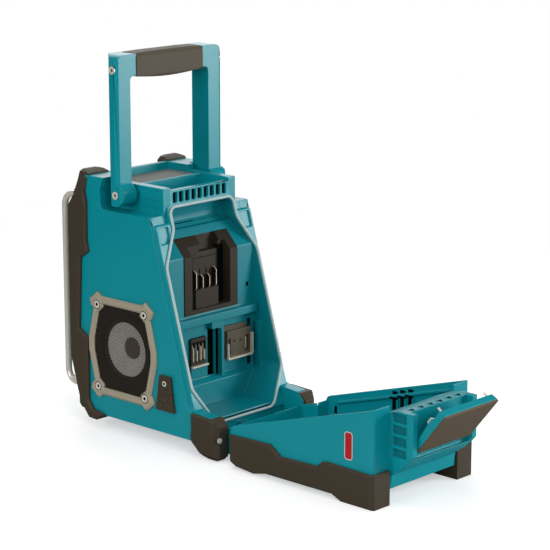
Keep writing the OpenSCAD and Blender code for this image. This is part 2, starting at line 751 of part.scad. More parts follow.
module narrow_terminal() { color(rubber) small_terminal(narrow_x, narrow_w, 4); }
module wide_terminal() {
    color(rubber)
    difference() {
        block(wide_x - wide_w / 2, wide_x + wide_w / 2, small_y0, small_y1 + 4, small_z, small_z + small_h);
        block(wide_x - wide_w / 2 + 3, wide_x - wide_w / 2 + 9, small_y0 + 3, small_y1 + 5, small_z + 4,
            small_z + small_h - 9);
        block(wide_x + wide_w / 2 - 5, wide_x + wide_w / 2 - 2, small_y0 + 3, small_y1 + 5, small_z + 4,
            small_z + small_h - 9);
        for (i = [-1, 1])
            pin_y(small_y1, small_y1 + 5, wide_x + 3 + i * 5, small_z + 18, 1.2);
    }
}
module small_blades() {
    color(steel) {
        for (i = [0 : 3])
            blade(cell_x(narrow_x, narrow_w, 4, i), small_y0 + 3.2, small_y1 - 2, small_z + 5,
                small_h - 10);
        blade(wide_x - wide_w / 2 + 6, small_y0 + 3.2, small_y1 + 2, small_z + 4.2, small_h - 14);
        blade(wide_x + wide_w / 2 - 3.5, small_y0 + 3.2, small_y1 + 2, small_z + 4.2, small_h - 14);
    }
}

module seal_gasket() {
    stretch = 1 / cos(seal_lean);
    color([0.62, 0.72, 0.72])
    translate([0, seal_top_y, seal_top_z])
    rotate([90 + seal_lean, 0, 0])
    mirror([0, 0, 1])
    linear_extrude(seal_h)
    difference() {
        translate([0, -seal_top_z * stretch]) polygon(stretched(rounded(inset_path(seal_path,
            -seal_w / 2)), stretch));
        translate([0, -seal_top_z * stretch]) polygon(stretched(rounded(inset_path(seal_path, seal_w / 2)),
            stretch));
    }
}

module tray_mat() {
    color([0.42, 0.44, 0.41])
    block(-dish_half + 0.3, dish_half - 0.3, dish_y + 0.3, dish_back_y - 0.3, dish_z, dish_z + mat_t);
}

// Front bumpers: side plate, wrap round the front edge, hook over the deck and blocks for the pipes.
plate_y = speaker_y - frame_half - side_gap;
bumper_side = [
    [bumper_y + 16, 25.5], [bumper_y + 29, 10], [bumper_y + 41, 9], [bumper_y + 55, base_z + 2],
    [bumper_y + 36, base_z + 5], [plate_y - 0.7, 31], [plate_y, 104], [bumper_y + 15.2, 113],
    [bumper_y + 19.5, 195], [bumper_y + 32.4, 204], [bumper_y + 29.6, 216], [bumper_y + 30.5, 260],
    [bumper_y + 27.5, 273], [bumper_y + 31, deck_z - 3], [bumper_y + 31, deck_z + 2],
    [bumper_y + 22, deck_z + hook_t], [bumper_y + 17, deck_z + hook_t], [bumper_y + 15.5, 283],
    [bumper_y + 13, 272], [bumper_y, brow_z + 3],
    [bumper_y, 104], [bumper_y + 2, 99], [bumper_y + 1, 78], [bumper_y + 9.5, 44.5]
];
bumper_front = [
    [wrap_half, 44], [wrap_half + 12, base_z - 8], [out_half, base_z - 8], [out_half, 268],
    [half_w - 1, deck_z + 3], [half_w - 6, deck_z + hook_t], [hook_half + 10, deck_z + hook_t],
    [hook_half + 4, deck_z + 4], [hook_half, deck_z], [wrap_half, deck_z - 22]
];
pipe_leg_top = pipe_top_z - pipe_d / 2;
pipe_leg_low = pipe_low_z + pipe_d / 2;
pipe_end_y = front_y - 2;

// The housing's own outline with clearance g, for what is fitted round it.
module housing_room(g) {
    along_x(-half_w - g, half_w + g) polygon([
        [front_y - g, base_z + base_bevel - g], [front_y + base_bevel - g, base_z - g], [0, base_z - g],
        [0, deck_z + g], [brow_y(deck_z) - g, deck_z + g], [knee_y - g, knee_z], [front_y - g, brow_z]
    ]);
}

module front_bumper() {
    color(rubber)
    difference() {
        union() {
            intersection() {
                along_x(hook_half, out_half) polygon(bumper_side);
                along_y(bumper_y, bumper_y + 60) polygon(bumper_front);
                along_z(0, far) polygon([
                    [hook_half, bumper_y], [out_half - 2, bumper_y], [out_half, bumper_y + 2],
                    [out_half, 0], [hook_half, 0]
                ]);
            }
            for (z = [pipe_leg_top, pipe_leg_low])
                block(wrap_half, pipe_x + 8, bumper_y - 3, front_y, z - 8, z + 8);
        }
        housing_room(skin_gap);
        for (z = [pipe_leg_top, pipe_leg_low])
            pin_y(bumper_y - 10, pipe_end_y, pipe_x, z, pipe_d / 2 + bore_fit);
    }
}
module front_bumper_right() { front_bumper(); }
module front_bumper_left() { mirror([1, 0, 0]) front_bumper(); }

module guard_pipe() {
    color(steel) {
        translate([pipe_x, pipe_y + pipe_d / 2, pipe_leg_low + pipe_bend])
        cylinder(h = pipe_leg_top - pipe_leg_low - 2 * pipe_bend, r = pipe_d / 2);
        for (top = [0, 1])
            translate([pipe_x, pipe_y + pipe_d / 2 + pipe_bend, top == 1 ? pipe_leg_top - pipe_bend
                : pipe_leg_low + pipe_bend])
            rotate([0, 90, 0])
            rotate([0, 0, top == 1 ? 180 : 270])
            rotate_extrude(angle = 90)
            translate([pipe_bend, 0]) circle(r = pipe_d / 2);
        for (z = [pipe_leg_top, pipe_leg_low])
            pin_y(pipe_y + pipe_d / 2 + pipe_bend, pipe_end_y, pipe_x, z, pipe_d / 2);
    }
}
module guard_pipe_right() { guard_pipe(); }
module guard_pipe_left() { mirror([1, 0, 0]) guard_pipe(); }

// Front foot under the base, out of sight from above.
module front_foot() {
    color(rubber)
    along_x(-30, 30)
    polygon([
        [front_y + 12, base_z], [front_y + 16, 0], [front_y + 36, 0], [front_y + 42, base_z]
    ]);
}

// Rear feet: rubber blocks round the tail walls, with a steel-headed screw behind.
module rear_foot() {
    color(rubber)
    difference() {
        intersection() {
            along_x(foot_in, out_half) polygon([
                [foot_y, 17.9], [foot_y + 14.5, 3], [foot_y + 21.5, 0], [foot_back_y - 5.5, 0],
                [foot_back_y, 5], [foot_back_y, foot_z - 9], [foot_back_y - 8, foot_z - 1.6],
                [foot_y, foot_z]
            ]);
            along_y(foot_y - 1, 0) polygon([
                [foot_in, 0], [out_half - 8, 0], [out_half - 2.5, 6], [out_half, 26], [out_half, foot_z],
                [foot_in, foot_z]
            ]);
            along_z(0, foot_z) polygon([
                [foot_in, foot_y], [out_half, foot_y], [out_half, foot_back_y - 6.5],
                [out_half - 6, foot_back_y], [foot_in, foot_back_y]
            ]);
        }
        // Pocket for the tail wall, and room for the flange.
        along_x(tail_half - skin_gap, half_w + skin_gap)
        polygon(rounded(concat([[foot_y - 60, base_z - skin_gap, 0]], tail_side(skin_gap))));
        along_x(0, flange_w + skin_gap) polygon([
            [seal_y(lower_lip_z) + skin_gap, lower_lip_z - skin_gap], [seal_y(far) + skin_gap, far],
            [-far, far], [-far, lower_lip_z - skin_gap]
        ]);
        pin_y(tail_back_y, foot_back_y + 1, foot_screw_x, foot_screw_z, 1.8 + bore_fit);
        pin_y(foot_back_y - 2, foot_back_y + 1, foot_screw_x, foot_screw_z, foot_screw_d / 2 + 0.4);
    }
}
foot_screw_x = out_half - 7.7;
foot_screw_z = 24.6;
module rear_foot_right() { rear_foot(); }
module rear_foot_left() { mirror([1, 0, 0]) rear_foot(); }
module rear_foot_screws() {
    color(steel)
    both_sides() {
        pin_y(tail_back_y + skin_gap, foot_back_y - 1.9, foot_screw_x, foot_screw_z, 1.8);
        pin_y(foot_back_y - 2, foot_back_y - 0.4, foot_screw_x, foot_screw_z, foot_screw_d / 2);
    }
}

// Speaker frame: a hexagon with four lugs.
frame_ring = [
    [frame_top_half, -frame_h / 2, 0], [bolt_y + 8, -bolt_z + 4, 0], [frame_half, -7, 0],
    [frame_half, 7, 0],
    [bolt_y + 8, bolt_z - 4, 0], [frame_top_half, frame_h / 2, 0]
];
module frame_plan(inset) { polygon(rounded(inset_path(mirrored(frame_ring), inset))); }
// A lug's outline about its bolt, pointing up, and the four lugs, grown by d.
lug_plan = [
    [-5, -7, 0], [5, -7, 0], [lug_w, 3, 0], [lug_w, lug_out - 6, 0], [lug_w - 2, lug_out, 0],
    [2 - lug_w, lug_out, 0], [-lug_w, lug_out - 6, 0], [-lug_w, 3, 0]
];
module frame_lugs(d) {
    for (u = [-1, 1], v = [-1, 1])
        translate([u * bolt_y, v * bolt_z]) rotate(atan2(v * bolt_z, u * bolt_y) - 90)
        polygon(rounded(inset_path(lug_plan, -d)));
}
module speaker_frame() {
    color([0.62, 0.60, 0.53])
    difference() {
        along_x(skin, half_w + frame_t)
        translate([speaker_y, speaker_z])
        difference() {
            union() {
                difference() {
                    frame_plan(0);
                    frame_plan(frame_bar);
                }
                frame_lugs(0);
            }
            for (u = [-1, 1], v = [-1, 1])
                translate([u * bolt_y, v * bolt_z]) circle(r = bolt_d / 2 + bore_fit);
        }
        for (u = [-1, 1], v = [-1, 1])
            pin_x(half_w + frame_t - 1.6, half_w + frame_t + 1, speaker_y + u * bolt_y,
                speaker_z + v * bolt_z,
                bolt_head_d / 2 + 0.3);
    }
}
module speaker_frame_right() { speaker_frame(); }
module speaker_frame_left() { mirror([1, 0, 0]) speaker_frame(); }

module frame_bolts() {
    color(steel)
    both_sides()
    for (u = [-1, 1], v = [-1, 1]) {
        pin_x(half_w - wall - 5, half_w + frame_t - 1.5, speaker_y + u * bolt_y, speaker_z + v * bolt_z,
            bolt_d / 2);
        difference() {
            pin_x(half_w + frame_t - 1.6, half_w + frame_t + 0.6, speaker_y + u * bolt_y,
                speaker_z + v * bolt_z,
                bolt_head_d / 2);
            translate([half_w + frame_t - 0.5, speaker_y + u * bolt_y, speaker_z + v * bolt_z])
            rotate([0, 90, 0]) cylinder(h = 2, r = 2.2, $fn = 6);
        }
    }
}

// Grille: a flat plate behind the frame with square holes.
grille_ring = inset_path(mirrored(frame_ring), frame_bar + 0.3);
module speaker_grille() {
    color(dark)
    along_x(skin, skin + grille_t)
    translate([speaker_y, speaker_z])
    difference() {
        polygon(rounded(grille_ring));
        intersection() {
            polygon(rounded(inset_path(grille_ring, 1.6)));
            for (i = [-11 : 11], j = [-11 : 11])
                translate([(i - 0.5) * grille_pitch, (j - 0.5) * grille_pitch])
                square(grille_pitch - grille_bar);
        }
        frame_lugs(0.3);
    }
}
module speaker_grille_right() { speaker_grille(); }
module speaker_grille_left() { mirror([1, 0, 0]) speaker_grille(); }

module speaker_cone() {
    color([0.28, 0.25, 0.21])
    translate([half_w - 1, speaker_y, speaker_z])
    rotate([0, 90, 0])
    rotate_extrude()
    polygon([
        [mouth_r - 0.4, -2], [mouth_r - 0.4, -3.9], [mouth_r - 4, -3.9], [mouth_r - 6.5, -5.8],
        [cap_r, -14.4],
        [0, -14.4], [0, -10], [cap_r * 0.55, -10.8], [cap_r * 0.9, -12.6], [cap_r, -13.4],
        [mouth_r - 6, -4.8],
        [mouth_r - 4, -2]
    ]);
}
module speaker_cone_right() { speaker_cone(); }
module speaker_cone_left() { mirror([1, 0, 0]) speaker_cone(); }

module speaker_basket() {
    color(dark)
    translate([half_w - wall, speaker_y, speaker_z])
    rotate([0, 90, 0])
    rotate_extrude()
    polygon([
        [mouth_r - 0.2, -2], [mouth_r - 0.2, 0], [mouth_r + 5, 0], [mouth_r + 5, -2.2], [mouth_r + 1, -2.2],
        [magnet_d / 2 + 1, -basket_d + 7], [magnet_d / 2, -basket_d + 5], [magnet_d / 2, -basket_d - 9],
        [0, -basket_d - 9], [0, -basket_d + 5], [magnet_d / 2 - 3, -basket_d + 7.5]
    ]);
}
module speaker_basket_right() { speaker_basket(); }
module speaker_basket_left() { mirror([1, 0, 0]) speaker_basket(); }

// Socket cover: a screwed tab above, a hinged flap below and the sockets behind.
flap_axis_x = half_w + port_t - 1.2;
flap_axis_z = port_z + port_h - port_tab_h - 1;
flap_top_z = flap_axis_z + 1.2;
function port_w(z) = port_low_w + (port_top_w - port_low_w) * (z - port_z) / port_h;
ear_w = 3;

module port_plan(z0, z1, inset) {
    along_x(skin, half_w + port_t)
    polygon([
        [port_y - port_w(z0) / 2 + inset, z0], [port_y + port_w(z0) / 2 - inset, z0],
        [port_y + port_w(z1) / 2 - inset, z1], [port_y - port_w(z1) / 2 + inset, z1]
    ]);
}
module port_tab() {
    color(rubber)
    difference() {
        port_plan(flap_axis_z - 1.8, port_z + port_h, 0);
        block(skin - 1, far, port_y - port_w(flap_axis_z) / 2 + ear_w,
            port_y + port_w(flap_axis_z) / 2 - ear_w,
            flap_axis_z - 3, flap_top_z + side_gap);
        pin_y(port_y - 20, port_y + 20, flap_axis_x, flap_axis_z, 0.8 + bore_fit);
        pin_x(half_w - wall, far, port_y - 0.6, port_z + port_h - 8.8, 1.6 + bore_fit);
        pin_x(half_w + port_t - 1.4, far, port_y - 0.6, port_z + port_h - 8.8, 3.4);
    }
}
module port_screw() {
    color(steel) {
        pin_x(skin, half_w + port_t - 1.3, port_y - 0.6, port_z + port_h - 8.8, 1.6);
        pin_x(half_w + port_t - 1.4, half_w + port_t, port_y - 0.6, port_z + port_h - 8.8, 3.1);
    }
}
module port_flap() {
    color(rubber) {
        intersection() {
            port_plan(port_z, flap_axis_z + 1, 0);
            block(skin, half_w + port_t, port_y - 20, port_y + 20, port_z, flap_axis_z - 2.5);
        }
        intersection() {
            block(skin + 1.6, half_w + port_t, port_y - port_w(flap_axis_z) / 2 + ear_w + side_gap,
                port_y + port_w(flap_axis_z) / 2 - ear_w - side_gap, flap_axis_z - 3, flap_axis_z);
            port_plan(port_z, flap_axis_z + 1, 0);
        }
        pin_y(port_y - port_w(flap_axis_z) / 2 + ear_w + side_gap,
            port_y + port_w(flap_axis_z) / 2 - ear_w - side_gap,
            flap_axis_x, flap_axis_z, 1.2);
        pin_y(port_y - port_w(flap_axis_z) / 2 + 0.6, port_y + port_w(flap_axis_z) / 2 - 0.6, flap_axis_x,
            flap_axis_z, 0.8);
    }
}
module port_panel() {
    color(dark)
    difference() {
        block(half_w - wall - 3.4, half_w - wall, port_y - 11, port_y + 11, port_z + 1, port_z + 22);
        for (z = [port_z + 8, port_z + 15])
            pin_x(half_w - wall - 2.6, half_w, port_y - 4, z, jack_d / 2);
        block(half_w - wall - 2.6, half_w, port_y + 3, port_y + 7, port_z + 6, port_z + 17);
    }
}

// Front: plate, display, board, buttons and tuning knob.
knob_shaft_r = 3;
board_y = front_in_y + 7;
button_pitch = (2 * (wrap_half - button_in) - button_w) / (button_n - 1);
function button_x(i) = (i - (button_n - 1) / 2) * button_pitch;

module front_panel() {
    color(teal)
    difference() {
        along_x(-half_w, half_w) polygon([
            [front_y, base_z + base_bevel], [front_y + base_bevel, base_z],
            [front_in_y + base_bevel, base_z],
            [front_in_y, base_z + base_bevel], [front_in_y, brow_z], [knee_y + front_t, knee_z],
            [brow_y(deck_z) + front_t, deck_z], [brow_y(deck_z), deck_z], [knee_y, knee_z],
            [front_y, brow_z]
        ]);
        block(-half_w - 1, half_w + 1, front_in_y, 0, 0, brow_z - 6);
        block(-lens_w / 2 - 0.1, lens_w / 2 + 0.1, front_y - 1, front_y + 2, lens_z - 0.1,
            lens_z + lens_h + 0.1);
        block(-lens_w / 2 + 4, lens_w / 2 - 4, front_y, front_in_y + 1, lens_z + 4, lens_z + lens_h - 4);
        for (i = [0 : button_n - 1])
            block(button_x(i) - button_w / 2 - 0.25, button_x(i) + button_w / 2 + 0.25, front_y - 1,
                front_in_y + 1,
                button_z - button_h / 2 - 0.25, button_z + button_h / 2 + 0.25);
        pin_y(front_y - 1, front_in_y + 1, 0, knob_z, knob_shaft_r + bore_fit);
        for (i = [0 : 4])
            block(-30, 30, front_y - 1, front_in_y + 1, 52 + i * 6, 55 + i * 6);
    }
}
module display_lens() {
    color([0.13, 0.15, 0.16])
    block(-lens_w / 2, lens_w / 2, front_y + 0.2, front_y + 2, lens_z, lens_z + lens_h);
}
module display_module() {
    color(dark) {
        block(-lens_w / 2 + 4.2, lens_w / 2 - 4.2, front_y + 2, front_in_y, lens_z + 4.2,
            lens_z + lens_h - 4.2);
        block(-lens_w / 2, lens_w / 2, front_in_y, board_y, lens_z, lens_z + lens_h);
    }
}
module control_board() {
    color(board_green)
    difference() {
        union() {
            block(-50, 50, board_y, board_y + 1.6, 104, 192);
            both_sides()
            for (z = [108, 188]) pin_y(front_in_y, board_y, 46, z, 2.2);
            block(-8, 8, board_y - 4, board_y, knob_z - 8, knob_z + 8);
        }
        pin_y(board_y - 5, board_y + 3, 0, knob_z, knob_shaft_r + bore_fit);
    }
}
module front_button(i) {
    color(dark) {
        block(button_x(i) - button_w / 2, button_x(i) + button_w / 2, front_y - 2.2, front_in_y + 0.8,
            button_z - button_h / 2, button_z + button_h / 2);
        block(button_x(i) - button_w / 2 - 1, button_x(i) + button_w / 2 + 1, front_in_y + 0.3,
            front_in_y + 1.5,
            button_z - button_h / 2 - 1, button_z + button_h / 2 + 1);
        pin_y(front_in_y + 1, board_y - button_travel - 0.4, button_x(i), button_z, 1.6);
    }
}
module power_button() { front_button(0); }
module preset_button_1() { front_button(1); }
module preset_button_2() { front_button(2); }
module preset_button_3() { front_button(3); }
module preset_button_4() { front_button(4); }
module tuning_knob() {
    color(dark) {
        pin_y(front_y - side_gap - 0.6, board_y + 1.6, 0, knob_z, knob_shaft_r);
        difference() {
            pin_y(front_y - knob_t, front_y - side_gap, 0, knob_z, knob_d / 2);
            for (a = [0 : 20 : 340])
                translate([0, 0, knob_z]) rotate([0, a, 0])
                pin_y(front_y - knob_t - 1, front_y - 3.4, knob_d / 2 + 1, 0, 2.2);
            pin_y(front_y - knob_t - 1, front_y - knob_t + 1, 0, knob_z, knob_d / 2 - 5);
        }
    }
}

// Boards inside the housing.
module main_board() {
    color(board_green) {
        block(-33, 33, main_back_y - 9.6, main_back_y - 8, 60, 215);
        both_sides()
        for (z = [main_z + 6, main_top_z - 16]) pin_y(main_back_y - 8, main_back_y, 26, z, 2.4);
        block(-14, 14, main_back_y - 13, main_back_y - 9.6, 120, 140);
        for (i = [-1, 1]) pin_y(main_back_y - 22, main_back_y - 9.6, i * 18, 90, 5);
    }
}
module power_board() {
    color(board_green) {
        block(-34, 34, -205, -125, base_z + wall + 5, base_z + wall + 6.6);
        for (x = [-28, 28], y = [-199, -131]) translate([x, y, base_z + wall]) cylinder(h = 5, r = 2.4);
        for (i = [0 : 6]) block(-30, -4, -195 + i * 6, -193 + i * 6, base_z + wall + 6.6,
            base_z + wall + 24);
        block(-30, -4, -195, -157, base_z + wall + 6.6, base_z + wall + 9);
        translate([16, -175, base_z + wall + 6.6]) cylinder(h = 22, r = 9);
        translate([16, -150, base_z + wall + 6.6]) cylinder(h = 22, r = 9);
    }
}
module hinge_pin() {
    color(steel) pin_x(-knuckle_end - 0.5, knuckle_end + 0.5, hinge_y, hinge_z, hinge_pin_d / 2);
}

// Handle: two arms, a bar between them inside the grip, and four bolts.
arm_section = [
    [grip_half, arm_front_y], [out_half - 14.5, arm_front_y], [out_half, pivot_y - 5.6],
    [out_half, pivot_y + 1.4], [out_half - 4.5, arm_back_y], [grip_half, arm_back_y]
];
bar_mid_z = handle_z - bar_h / 2;
bar_mid_y = (arm_front_y + arm_back_y) / 2;
bolt_top_y = pivot_y - 1.8;
bolt_top_z = handle_z - 16;

module handle_arm() {
    color(teal)
    difference() {
        union() {
            intersection() {
                along_z(pivot_z, handle_z) polygon(arm_section);
                along_y(arm_front_y, arm_back_y) polygon(rounded([
                    [arm_in, pivot_z, 0], [out_half, pivot_z, 0], [out_half, handle_z, handle_r],
                    [grip_half, handle_z, 0], [grip_half, handle_z - bar_h, 0],
                    [arm_in, handle_z - bar_h, 5]
                ]));
            }
            intersection() {
                pin_x(arm_in, out_half, pivot_y, pivot_z, boss_r);
                along_z(pivot_z - boss_r - 1, pivot_z + boss_r + 1) polygon([
                    [arm_in - 1, arm_front_y], [out_half - 14.5, arm_front_y], [out_half, pivot_y - 5.6],
                    [out_half, pivot_y + boss_r - 4], [out_half - 4, pivot_y + boss_r + 1],
                    [arm_in - 1, pivot_y + boss_r + 1]
                ]);
            }
        }
        pin_x(arm_in - 1, out_half + 1, pivot_y, pivot_z, pivot_d / 2 + bore_fit);
        pin_x(out_half - 2.5, out_half + 1, pivot_y, pivot_z, pivot_d / 2 + 0.9);
        block(grip_half - 1, grip_half + 9, bar_mid_y - core_w / 2, bar_mid_y + core_w / 2, bar_mid_z - 5,
            bar_mid_z + 5);
        pin_x(grip_half + 7, out_half + 1, bolt_top_y, bolt_top_z, 2 + bore_fit);
        pin_x(out_half - 1.6, out_half + 1, bolt_top_y, bolt_top_z, 4.7);
    }
}
module handle_arm_right() { handle_arm(); }
module handle_arm_left() { mirror([1, 0, 0]) handle_arm(); }
module handle_core() {
    color(steel)
    block(-grip_half - 7.8, grip_half + 7.8, bar_mid_y - core_w / 2 + 0.1, bar_mid_y + core_w / 2 - 0.1,
        bar_mid_z - 4.9, bar_mid_z + 4.9);
}
module handle_grip() {
    top = [for (i = [0 : 8]) [grip_half - i * grip_half / 4, handle_z + 0.4 + 0.8 * sin(i * 22.5)]];
    under = [for (i = [0 : 8]) [-grip_half + i * grip_half / 4,
        handle_z - bar_h - 1 - grip_sag * sin(i * 22.5)]];
    color(rubber)
    difference() {
        intersection() {
            along_y(arm_front_y - 1.2, arm_back_y + 1.2) polygon(concat(top, under));
            along_x(-grip_half, grip_half)
            polygon(rounded([
                [arm_front_y - 1.2, handle_z - bar_h - 8, 9], [arm_back_y + 1.2, handle_z - bar_h - 8, 9],
                [arm_back_y + 1.2, handle_z + 1.2, 7], [arm_front_y - 1.2, handle_z + 1.2, 7]
            ]));
        }
        block(-grip_half - 1, grip_half + 1, bar_mid_y - core_w / 2, bar_mid_y + core_w / 2, bar_mid_z - 5,
            bar_mid_z + 5);
    }
}
module hex_socket(x, y, z, r) { translate([x, y, z]) rotate([0, 90, 0]) cylinder(h = 3, r = r, $fn = 6); }
module handle_top_bolts() {
    color(steel)
    both_sides()
    difference() {
        union() {
            pin_x(grip_half + 7.8, out_half - 1.5, bolt_top_y, bolt_top_z, 2);
            pin_x(out_half - 1.6, out_half, bolt_top_y, bolt_top_z, 4.4);
        }
        hex_socket(out_half - 1.2, bolt_top_y, bolt_top_z, 2.2);
    }
}
module pivot_bolts() {
    color(steel)
    both_sides()
    difference() {
        union() {
            pin_x(block_half - 9, block_half + 0.2, pivot_y, pivot_z, pivot_d / 2 - 1);
            pin_x(block_half + 0.2, out_half - 2.4, pivot_y, pivot_z, pivot_d / 2);
            pin_x(out_half - 2.45, out_half, pivot_y, pivot_z, pivot_d / 2 + 0.5);
        }
        hex_socket(out_half - 1.4, pivot_y, pivot_z, 2.2);
    }
}

// Cover, drawn open: the rest pose.
close_gap = 0.4;
rim_end_y = 209.5;
cover_ledge = rim_drop + seal_h + close_gap;
// Places on the open cover that meet a height on the housing.
function open_y(z) = z - hinge_z + hinge_y;
cover_plan = [
    [tongue_half, tongue_y, 0], [tongue_half, side_y, 0], [cover_half, side_y, 0],
    [cover_half, rim_end_y, cover_r]
];
module cover_outline(inset) { polygon(rounded(inset_path(mirrored(cover_plan), inset))); }

module below_rim(x0, x1, y0, y1, drop) {
    along_x(x0, x1)
    polygon([[y0, -1], [y1, -1], [y1, rim_z(y1) - drop], [y0, rim_z(y0) - drop]]);
}

module above_rim(drop) {
    y0 = open_y(lower_lip_z) - side_gap;
    y1 = open_y(flange_neck_z) + side_gap;
    along_x(-far, far) polygon([[y0, rim_z(y0) - drop], [y1, rim_z(y1) - drop], [y1, far], [y0, far]]);
}
// The narrow end's lip turns about the hinge inside the seal's lowest corner.
lip_y = tongue_y + wall + 0.1;
lip_reach = norm([seal_y(seal_bottom_z) + seal_h - hinge_y, seal_bottom_z - seal_w / 2 - hinge_z]) - side_gap;
lip_z = hinge_z + sqrt(pow(lip_reach, 2) - pow(lip_y - hinge_y, 2));

latch_block_side = [
    [rim_end_y - 4.5, 18], [rim_end_y + 1.5, 16], [rim_end_y + 3.5, 31], [228, 42], [latch_block_y, 55],
    [latch_block_y, latch_block_z], [221, latch_block_z], [rim_end_y - 4.5,
        rim_z(rim_end_y - 4.5) - cover_ledge - 0.3]
];
lever_room = lever_half + 1.5;
recess_y = 231;

// Floor line of the cover, raised by d, with its far end lifted.
module cover_floor(d) {
    along_x(-cover_half - 1, cover_half + 1)
    polygon([
        [tongue_y - 1, cover_z + d], [184, cover_z + d], [rim_end_y + 0.1, cover_z + d + 9.5],
        [rim_end_y + 0.1, far], [tongue_y - 1, far]
    ]);
}
module cover_body() {
    difference() {
        intersection() {
            along_z(0, far) cover_outline(0);
            cover_floor(0);
        }
        intersection() {
            along_z(0, far) cover_outline(wall);
            cover_floor(wall);
        }
    }
}

module cover_shell() {
    color(teal) {
        difference() {
            union() {
                intersection() {
                    cover_body();
                    union() {
                        // Side walls up to the rim.
                        along_x(-cover_half, cover_half)
                        polygon(rounded([
                            [side_y, 0, 0], [rim_end_y, 0, 0], [rim_end_y, rim_z(rim_end_y) - close_gap, 0],
                            [side_y, rim_z(side_y) - close_gap, tail_r]
                        ], 8));
                        // Narrow end between the feet.
                        below_rim(-tongue_half, tongue_half, tongue_y - 1, side_y + wall, close_gap);
                    }
                }
                along_x(-latch_block_half, latch_block_half) polygon(latch_block_side);
                // Ledges that press the seal.
                both_sides() {
                    along_x(flange_w - 4, cover_half - wall + 0.1)
                    polygon([
                        [30, rim_z(30) - cover_ledge], [30, rim_z(30) - cover_ledge - wall],
                        [194, rim_z(194) - cover_ledge - wall], [194, rim_z(194) - cover_ledge]
                    ]);
                }
            }
            // Room for the raised flange and its seal, and a low end that swings past the seal.
            intersection() {
                above_rim(rim_drop + close_gap);
                along_z(0, far) translate([0, open_y(0)]) polygon(rounded(mirrored(flange_half(-side_gap))));
            }
            intersection() {
                above_rim(cover_ledge);
                along_z(0, far) translate([0, open_y(0)])
                polygon(rounded(inset_path(seal_path, -seal_w / 2 - side_gap)));
            }
            block(-far, far, tongue_y - 1, lip_y, lip_z, far);
            // Hollow behind the latch block, recess for the lever and ladder recesses in its sides.
            difference() {
                block(-latch_block_half + wall, latch_block_half - wall, rim_end_y - 10, recess_y - 2, 34,
                    94);
                along_x(-far, far) polygon([
                    [rim_end_y, 30], [recess_y, 30], [recess_y, 49], [rim_end_y + 6, 38]
                ]);
            }
            block(-lever_room, lever_room, recess_y, latch_block_y + 1, 50, far);
            for (i = [0 : 5])
                translate([-37.5 + i * 15, 226, latch_block_z - 4])
                rotate(90) cylinder(h = 5, r = 5, $fn = 3);
            both_sides() {
                for (z = [[51.5, 60.3], [63.3, 72.8], [75.8, 84.8], [87.8, 97.5]])
                    block(latch_block_half - wall + 0.6, latch_block_half + 1, 213, 231, z[0], z[1]);
                pin_x(lever_room - 1, latch_block_half - 1.5, latch_y, latch_z, latch_pin_d / 2 + bore_fit);
                // Slots in the inner side wall near the rim.
                for (y = [108, 119, 130])
                    block(cover_half - wall - 1, cover_half - wall + 1.2, y, y + 6, 60, rim_z(y) - 9);
                // Grooves under the latch block.
                for (y = [218, 226])
                    translate([0, y, 0]) block(-latch_block_half - 1, latch_block_half + 1, 0, 2, 20,
                        36.5 + (y - 218) * 0.7);
            }
            block(-latch_block_half + wall, latch_block_half - wall, rim_end_y - wall - 1, rim_end_y + 1,
                34, 94);
        }
        // Hinge leaf and knuckles.
        for (span = cover_knuckles)
            difference() {
                union() {
                    pin_x(span[0], span[1], hinge_y, hinge_z, knuckle_r);
                    block(span[0], span[1], hinge_y, tongue_y + 0.5, hinge_z - knuckle_r,
                        hinge_z + knuckle_r);
                }
                pin_x(span[0] - 1, span[1] + 1, hinge_y, hinge_z, hinge_pin_d / 2 + bore_fit);
            }
        // Pegs inside that hold the batteries.
        both_sides() block(flange_w - 9, cover_half - wall + 0.1, 24, 27, cover_z + 1, 30);
        for (x = [-20, 20]) block(x - 1.5, x + 1.5, 60, 150, cover_z + 1, 14);
    }
}

// Cover bumpers: rubber round the lower edge of each side wall and the far corners.
pad_top = [
    [rim_end_y + pad_out, 36.8], [152, 37.8], [143.8, 37], [135.5, 30.3], [84.9, 29.2], [70.6, 39.2],
    [side_y + 1, 37.7]
];
pad_low = [
    [side_y + 1, 8], [19.5, 3.9], [45.5, 1.5], [63.5, 5.4], [156.5, 5.4], [169.5, 0],
    [rim_end_y + pad_out, 0]
];
module cover_bumper() {
    color(rubber)
    difference() {
        intersection() {
            along_x(pad_half, out_half) polygon(concat(pad_low, pad_top));
            along_z(-1, far) polygon(rounded([
                [pad_half, side_y, 0], [out_half, side_y, 0], [out_half, rim_end_y + pad_out - 3, 0],
                [out_half - 3, rim_end_y + pad_out, 0], [pad_half, rim_end_y + pad_out, 0]
            ]));
            // The inward part under the cover is kept to its two pads.
            union() {
                block(cover_half, out_half, 0, far, -1, far);
                block(pad_half, out_half, 170, far, -1, far);
                block(cover_half - 14, out_half, 20, 55, -1, far);
            }
        }
        intersection() {
            along_z(0, far) cover_outline(-skin_gap);
            cover_floor(-skin_gap);
        }
    }
}
module cover_bumper_right() { cover_bumper(); }
module cover_bumper_left() { mirror([1, 0, 0]) cover_bumper(); }
module cover_badge() {
    color([0.72, 0.10, 0.12])
    along_x(cover_half, cover_half + 0.8)
    polygon(rounded([[173, 46.5, 3], [183, 46.5, 3], [183, 75.5, 3], [173, 75.5, 3]]));
}

// Latch lever, drawn open. Its own frame: y runs up the lever, z points towards the radio.
module on_lever() { translate([0, lever_y, lever_z]) rotate([lever_tilt, 0, 0]) children(); }
latch_y = lever_y + 4 * cos(lever_tilt) - 5 * sin(lever_tilt);
latch_z = lever_z + 4 * sin(lever_tilt) + 5 * cos(lever_tilt);
barrel_r = 3.6;
plate_t = 3;
plate_v = pad_t + plate_t;

